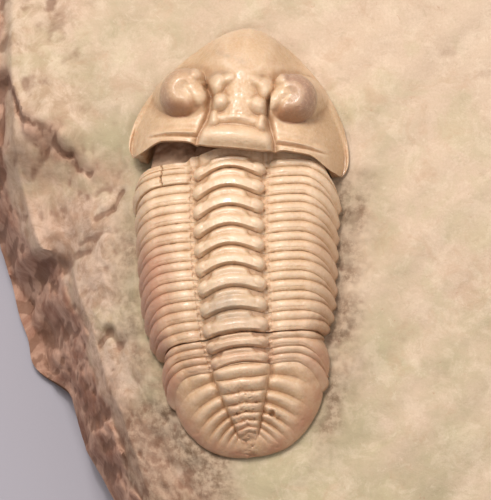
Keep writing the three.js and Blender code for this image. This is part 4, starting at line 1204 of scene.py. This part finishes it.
def shield_material():
    """Waxy calcite: peach to tan, darker brown in the furrows (partly its own brown, partly painted shade),
    with a painted highlight on the crests.
    """
    paint = Paint("fossil_shield")
    broad = paint.patches((0.16,), 0.35, 0.65)
    paint.colour = paint.mix(broad, (0.6, 0.38, 0.208), (0.72, 0.485, 0.3))
    paint.tint_patches(SHIELD_PATCHES)
    # Painted highlight: the crests are tinted paler, as if lit
    crest = paint.between(paint.mark("hollow"), -0.006, -0.04)
    paint.tint(crest, 0.28, (0.88, 0.68, 0.5))
    # Darker brown in the furrows, between segments and on the walls: partly the shell's own brown, partly
    # painted shade
    wide = paint.between(paint.mark("wide"), 0.03, 0.3)
    near = paint.between(paint.mark("hollow"), 0.006, 0.075)
    patchy = paint.patches((1.6, 4, 0.6), 0.3, 0.7, 0.55, 1)
    furrow_brown_and_shade = paint.maths("MULTIPLY", paint.maths("MAXIMUM", wide, near), patchy)
    paint.tint(furrow_brown_and_shade, 0.7, (0.36, 0.18, 0.085))
    # Redder shell, with painted shade on the right flank and down the tail's rear slope
    paint.tint(paint.mark("red_and_shade"), 0.8, (0.47, 0.21, 0.125))
    # The head's paler colour, with a painted highlight on the front lobe
    paint.tint(paint.mark("pale"), 1, (0.82, 0.62, 0.48))
    paint.tint(paint.mark("stain"), 0.5, (0.27, 0.21, 0.16))
    speck = paint.patches((3.1, 6, 0.75), 0.45, 0.65)
    eye = paint.mix(speck, (0.33, 0.17, 0.115), (0.5, 0.3, 0.21))
    # The eyes' dark colour, with painted shade towards the rear of their walls
    paint.tint(paint.mark("eye"), 0.75, eye)
    paint.tint(paint.mark("rust_and_shade"), 0.8, (0.36, 0.165, 0.075))
    dots = paint.patches((9, 2, 0.5), 0.74, 0.8)
    paint.tint(dots, 1, (0.95, 0.85, 0.72))
    gloss = paint.patches((2.2, 4, 0.6), 0.3, 0.75, 0.28, 0.55)
    grain = paint.bump(paint.cloud(7, 6, 0.7), 0.6, 0.09 * MM)
    cells = paint.node("ShaderNodeTexVoronoi", {"Vector": paint.place, "Scale": 6.5}).outputs["Distance"]
    pores = paint.bump(paint.between(cells, 0.05, 0.3), 0.35, 0.03 * MM, grain)
    return paint.finish({
        "Roughness": gloss,
        "Subsurface Weight": 0.18,
        "Subsurface Radius": (1, 0.5, 0.28),
        "Subsurface Scale": 0.35 * MM,
        "Specular IOR Level": 0.5,
        "Coat Weight": 0.3,
        "Coat Roughness": 0.14,
        "Normal": pores,
    })


def limestone_material():
    """Matt cream limestone, greenish and pinkish in patches, reddish brown where it broke."""
    paint = Paint("limestone")
    uphill = paint.maths("MULTIPLY", paint.mark("along"), 0.7)
    uphill = paint.maths("ADD", uphill, paint.maths("MULTIPLY", paint.mark("across"), 0.9))
    cloudy = paint.maths("MULTIPLY", paint.cloud(0.14, 5, 0.6), 1.3)
    pink = paint.between(paint.maths("ADD", uphill, cloudy), 1.36, 1.8)
    paint.colour = paint.mix(pink, (0.44, 0.36, 0.225), (0.62, 0.455, 0.33))
    warm = paint.patches((0.5, 6, 0.7, 0.7), 0.38, 0.6)
    ruddy = paint.mix(warm, (0.44, 0.25, 0.165), (0.76, 0.525, 0.4))
    paint.tint(paint.mark("ruddy"), 0.85, ruddy)
    paint.tint_patches(LIMESTONE_PATCHES)
    # Grey grit close to the animal, darkened there as the animal's painted shadow
    grits = paint.patches((1.5, 5, 0.7), 0.38, 0.62)
    paint.tint(paint.mark("grit_and_shadow"), 0.85, paint.mix(grits, (0.2, 0.12, 0.07), (0.45, 0.32, 0.22)))
    streaks = paint.patches((0.4, 5, 0.6, 0.6), 0.33, 0.68)
    paint.tint(paint.mark("broken"), 0.85, paint.mix(streaks, (0.28, 0.11, 0.065), (0.6, 0.35, 0.25)))
    # Painted shade: the stone darkens in its hollows and notches, and on its sides
    wide = paint.between(paint.mark("wide"), 0.05, 0.4)
    near = paint.between(paint.mark("hollow"), 0.02, 0.14)
    paint.tint(paint.maths("MAXIMUM", wide, near), 0.66, (0.2, 0.095, 0.055))
    coarse = paint.bump(paint.cloud(1.3, 6, 0.65), 0.5, 0.18 * MM)
    fine = paint.bump(paint.cloud(9, 5, 0.7), 0.5, 0.06 * MM, coarse)
    return paint.finish({"Roughness": 0.82, "Specular IOR Level": 0.3, "Normal": fine})


def floor_material():
    paint = Paint("floor_paint")
    shade = paint.patches((0.01, 2), 0.3, 0.7)
    paint.colour = paint.mix(shade, (0.38, 0.353, 0.39), (0.42, 0.39, 0.43))
    return paint.finish({"Roughness": 0.9})


# The pieces


def build():
    """Every piece of the part, each in the place of its solid."""
    shield = shield_material()
    rock = limestone_material()
    floor_down = [down_to(UNDERSIDE)]
    footprint = []

    def shield_piece(name, node_name, grid, marks, under, seam=False):
        footprint.append(grid[::4, ::4, :2].reshape(-1, 2))
        points, quads, cap = closed(grid, under, seam)
        made = mesh_object(name, points, quads, [cap], marks, shield)
        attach(made, "root")
        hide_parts(node_name)

    grid, marks = head()
    shield_piece("head_shield", "cephalon", grid, marks, [head_under_rim, head_hollow, *floor_down])
    for number, (grid, marks) in enumerate(thorax(), 1):
        shield_piece(f"segment_{number:02d}", f"thorax_segment_{number:02d}", grid, marks, floor_down)
    grid, marks = tail()
    shield_piece("tail_shield", "pygidium", grid, marks, floor_down, seam=True)

    rows, marks = stone(np.concatenate(footprint))
    points, quads, caps = closed_round(rows)
    block = mesh_object("limestone", points, quads, caps, marks, rock)
    fill_points, fill_quads, fill_cap = closed(infill(), [down_to(INFILL_FOOT)])
    fill_marks = {"broken": np.full(len(fill_points), INFILL_BROKEN), "hollow": np.zeros(len(fill_points))}
    fill = mesh_object("infill", fill_points, fill_quads, [fill_cap], fill_marks, rock)
    merge = block.modifiers.new("infill", "BOOLEAN")
    merge.operation = "UNION"
    merge.object = fill
    merge.solver = "MANIFOLD"
    bpy.context.view_layer.update()
    shown = block.evaluated_get(bpy.context.evaluated_depsgraph_get())
    block.data = bpy.data.meshes.new_from_object(shown)
    block.modifiers.clear()
    bpy.data.objects.remove(fill)
    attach(block, "root")
    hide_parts("matrix")


# The floor, the lights and the camera

# The camera's axes, the height of what it frames, and how far beside the animal's middle it aims
VIEW = Vector((0.12187, -0.20791, 0.97053))
UP = Vector((0.02590, 0.97815, 0.20629))
RIGHT = Vector((0.99221, 0.0, -0.12459))
FRAME_HEIGHT = 38.35 * MM
AIM_RIGHT = 0.575 * MM
AIM_UP = 0.92 * MM
AIM_LIFT = 3.5 * MM
LENS = 500

# Lamps: the way from the animal to the lamp, how far off it is, how wide, its power and its colour
LAMPS = {
    "key": ((-0.14, 0.42, 0.9), 0.22, 0.11, 0.4, (1, 0.985, 0.96)),
    "spark": ((-0.1, 0.4, 0.92), 0.26, 0.018, 0.16, (1, 0.99, 0.97)),
    "fill": ((0.75, 0.05, 0.7), 0.3, 0.25, 0.24, (1, 0.98, 0.97)),
}
WORLD = {"Color": (1, 0.98, 0.97, 1), "Strength": 0.32}
FLOOR_SIZE = 3


def add_floor():
    bpy.ops.mesh.primitive_plane_add(size=FLOOR_SIZE, location=(0, 0, 0))
    floor = bpy.context.object
    floor.name = "floor"
    floor.data.materials.append(floor_material())


def add_lamp(name, towards, distance, size, power, colour):
    """A square lamp that looks at the animal."""
    data = bpy.data.lights.new(name, "AREA")
    data.size = size
    data.energy = power
    data.color = colour
    lamp = bpy.data.objects.new(name, data)
    way = Vector(towards).normalized()
    lamp.location = Vector(ANIMAL_AT * MM) + way * distance
    lamp.rotation_mode = "QUATERNION"
    lamp.rotation_quaternion = way.to_track_quat("Z", "Y")
    bpy.context.scene.collection.objects.link(lamp)


def add_lights():
    for name, settings in LAMPS.items():
        add_lamp(name, *settings)
    world = bpy.data.worlds.new("studio")
    bpy.context.scene.world = world
    world.use_nodes = True
    for key, value in WORLD.items():
        world.node_tree.nodes["Background"].inputs[key].default_value = value


def add_camera():
    data = bpy.data.cameras.new("camera")
    data.lens = LENS
    camera = bpy.data.objects.new("camera", data)
    aim = Vector(ANIMAL_AT * MM) + RIGHT * AIM_RIGHT + UP * AIM_UP
    distance = FRAME_HEIGHT * LENS / data.sensor_width + AIM_LIFT
    axes = Matrix((RIGHT, UP, VIEW)).transposed().to_4x4()
    camera.matrix_world = Matrix.Translation(aim + VIEW * distance) @ axes
    bpy.context.scene.collection.objects.link(camera)
    bpy.context.scene.camera = camera


build()
add_floor()
add_lights()
add_camera()
bpy.context.scene.view_settings.view_transform = "Standard"
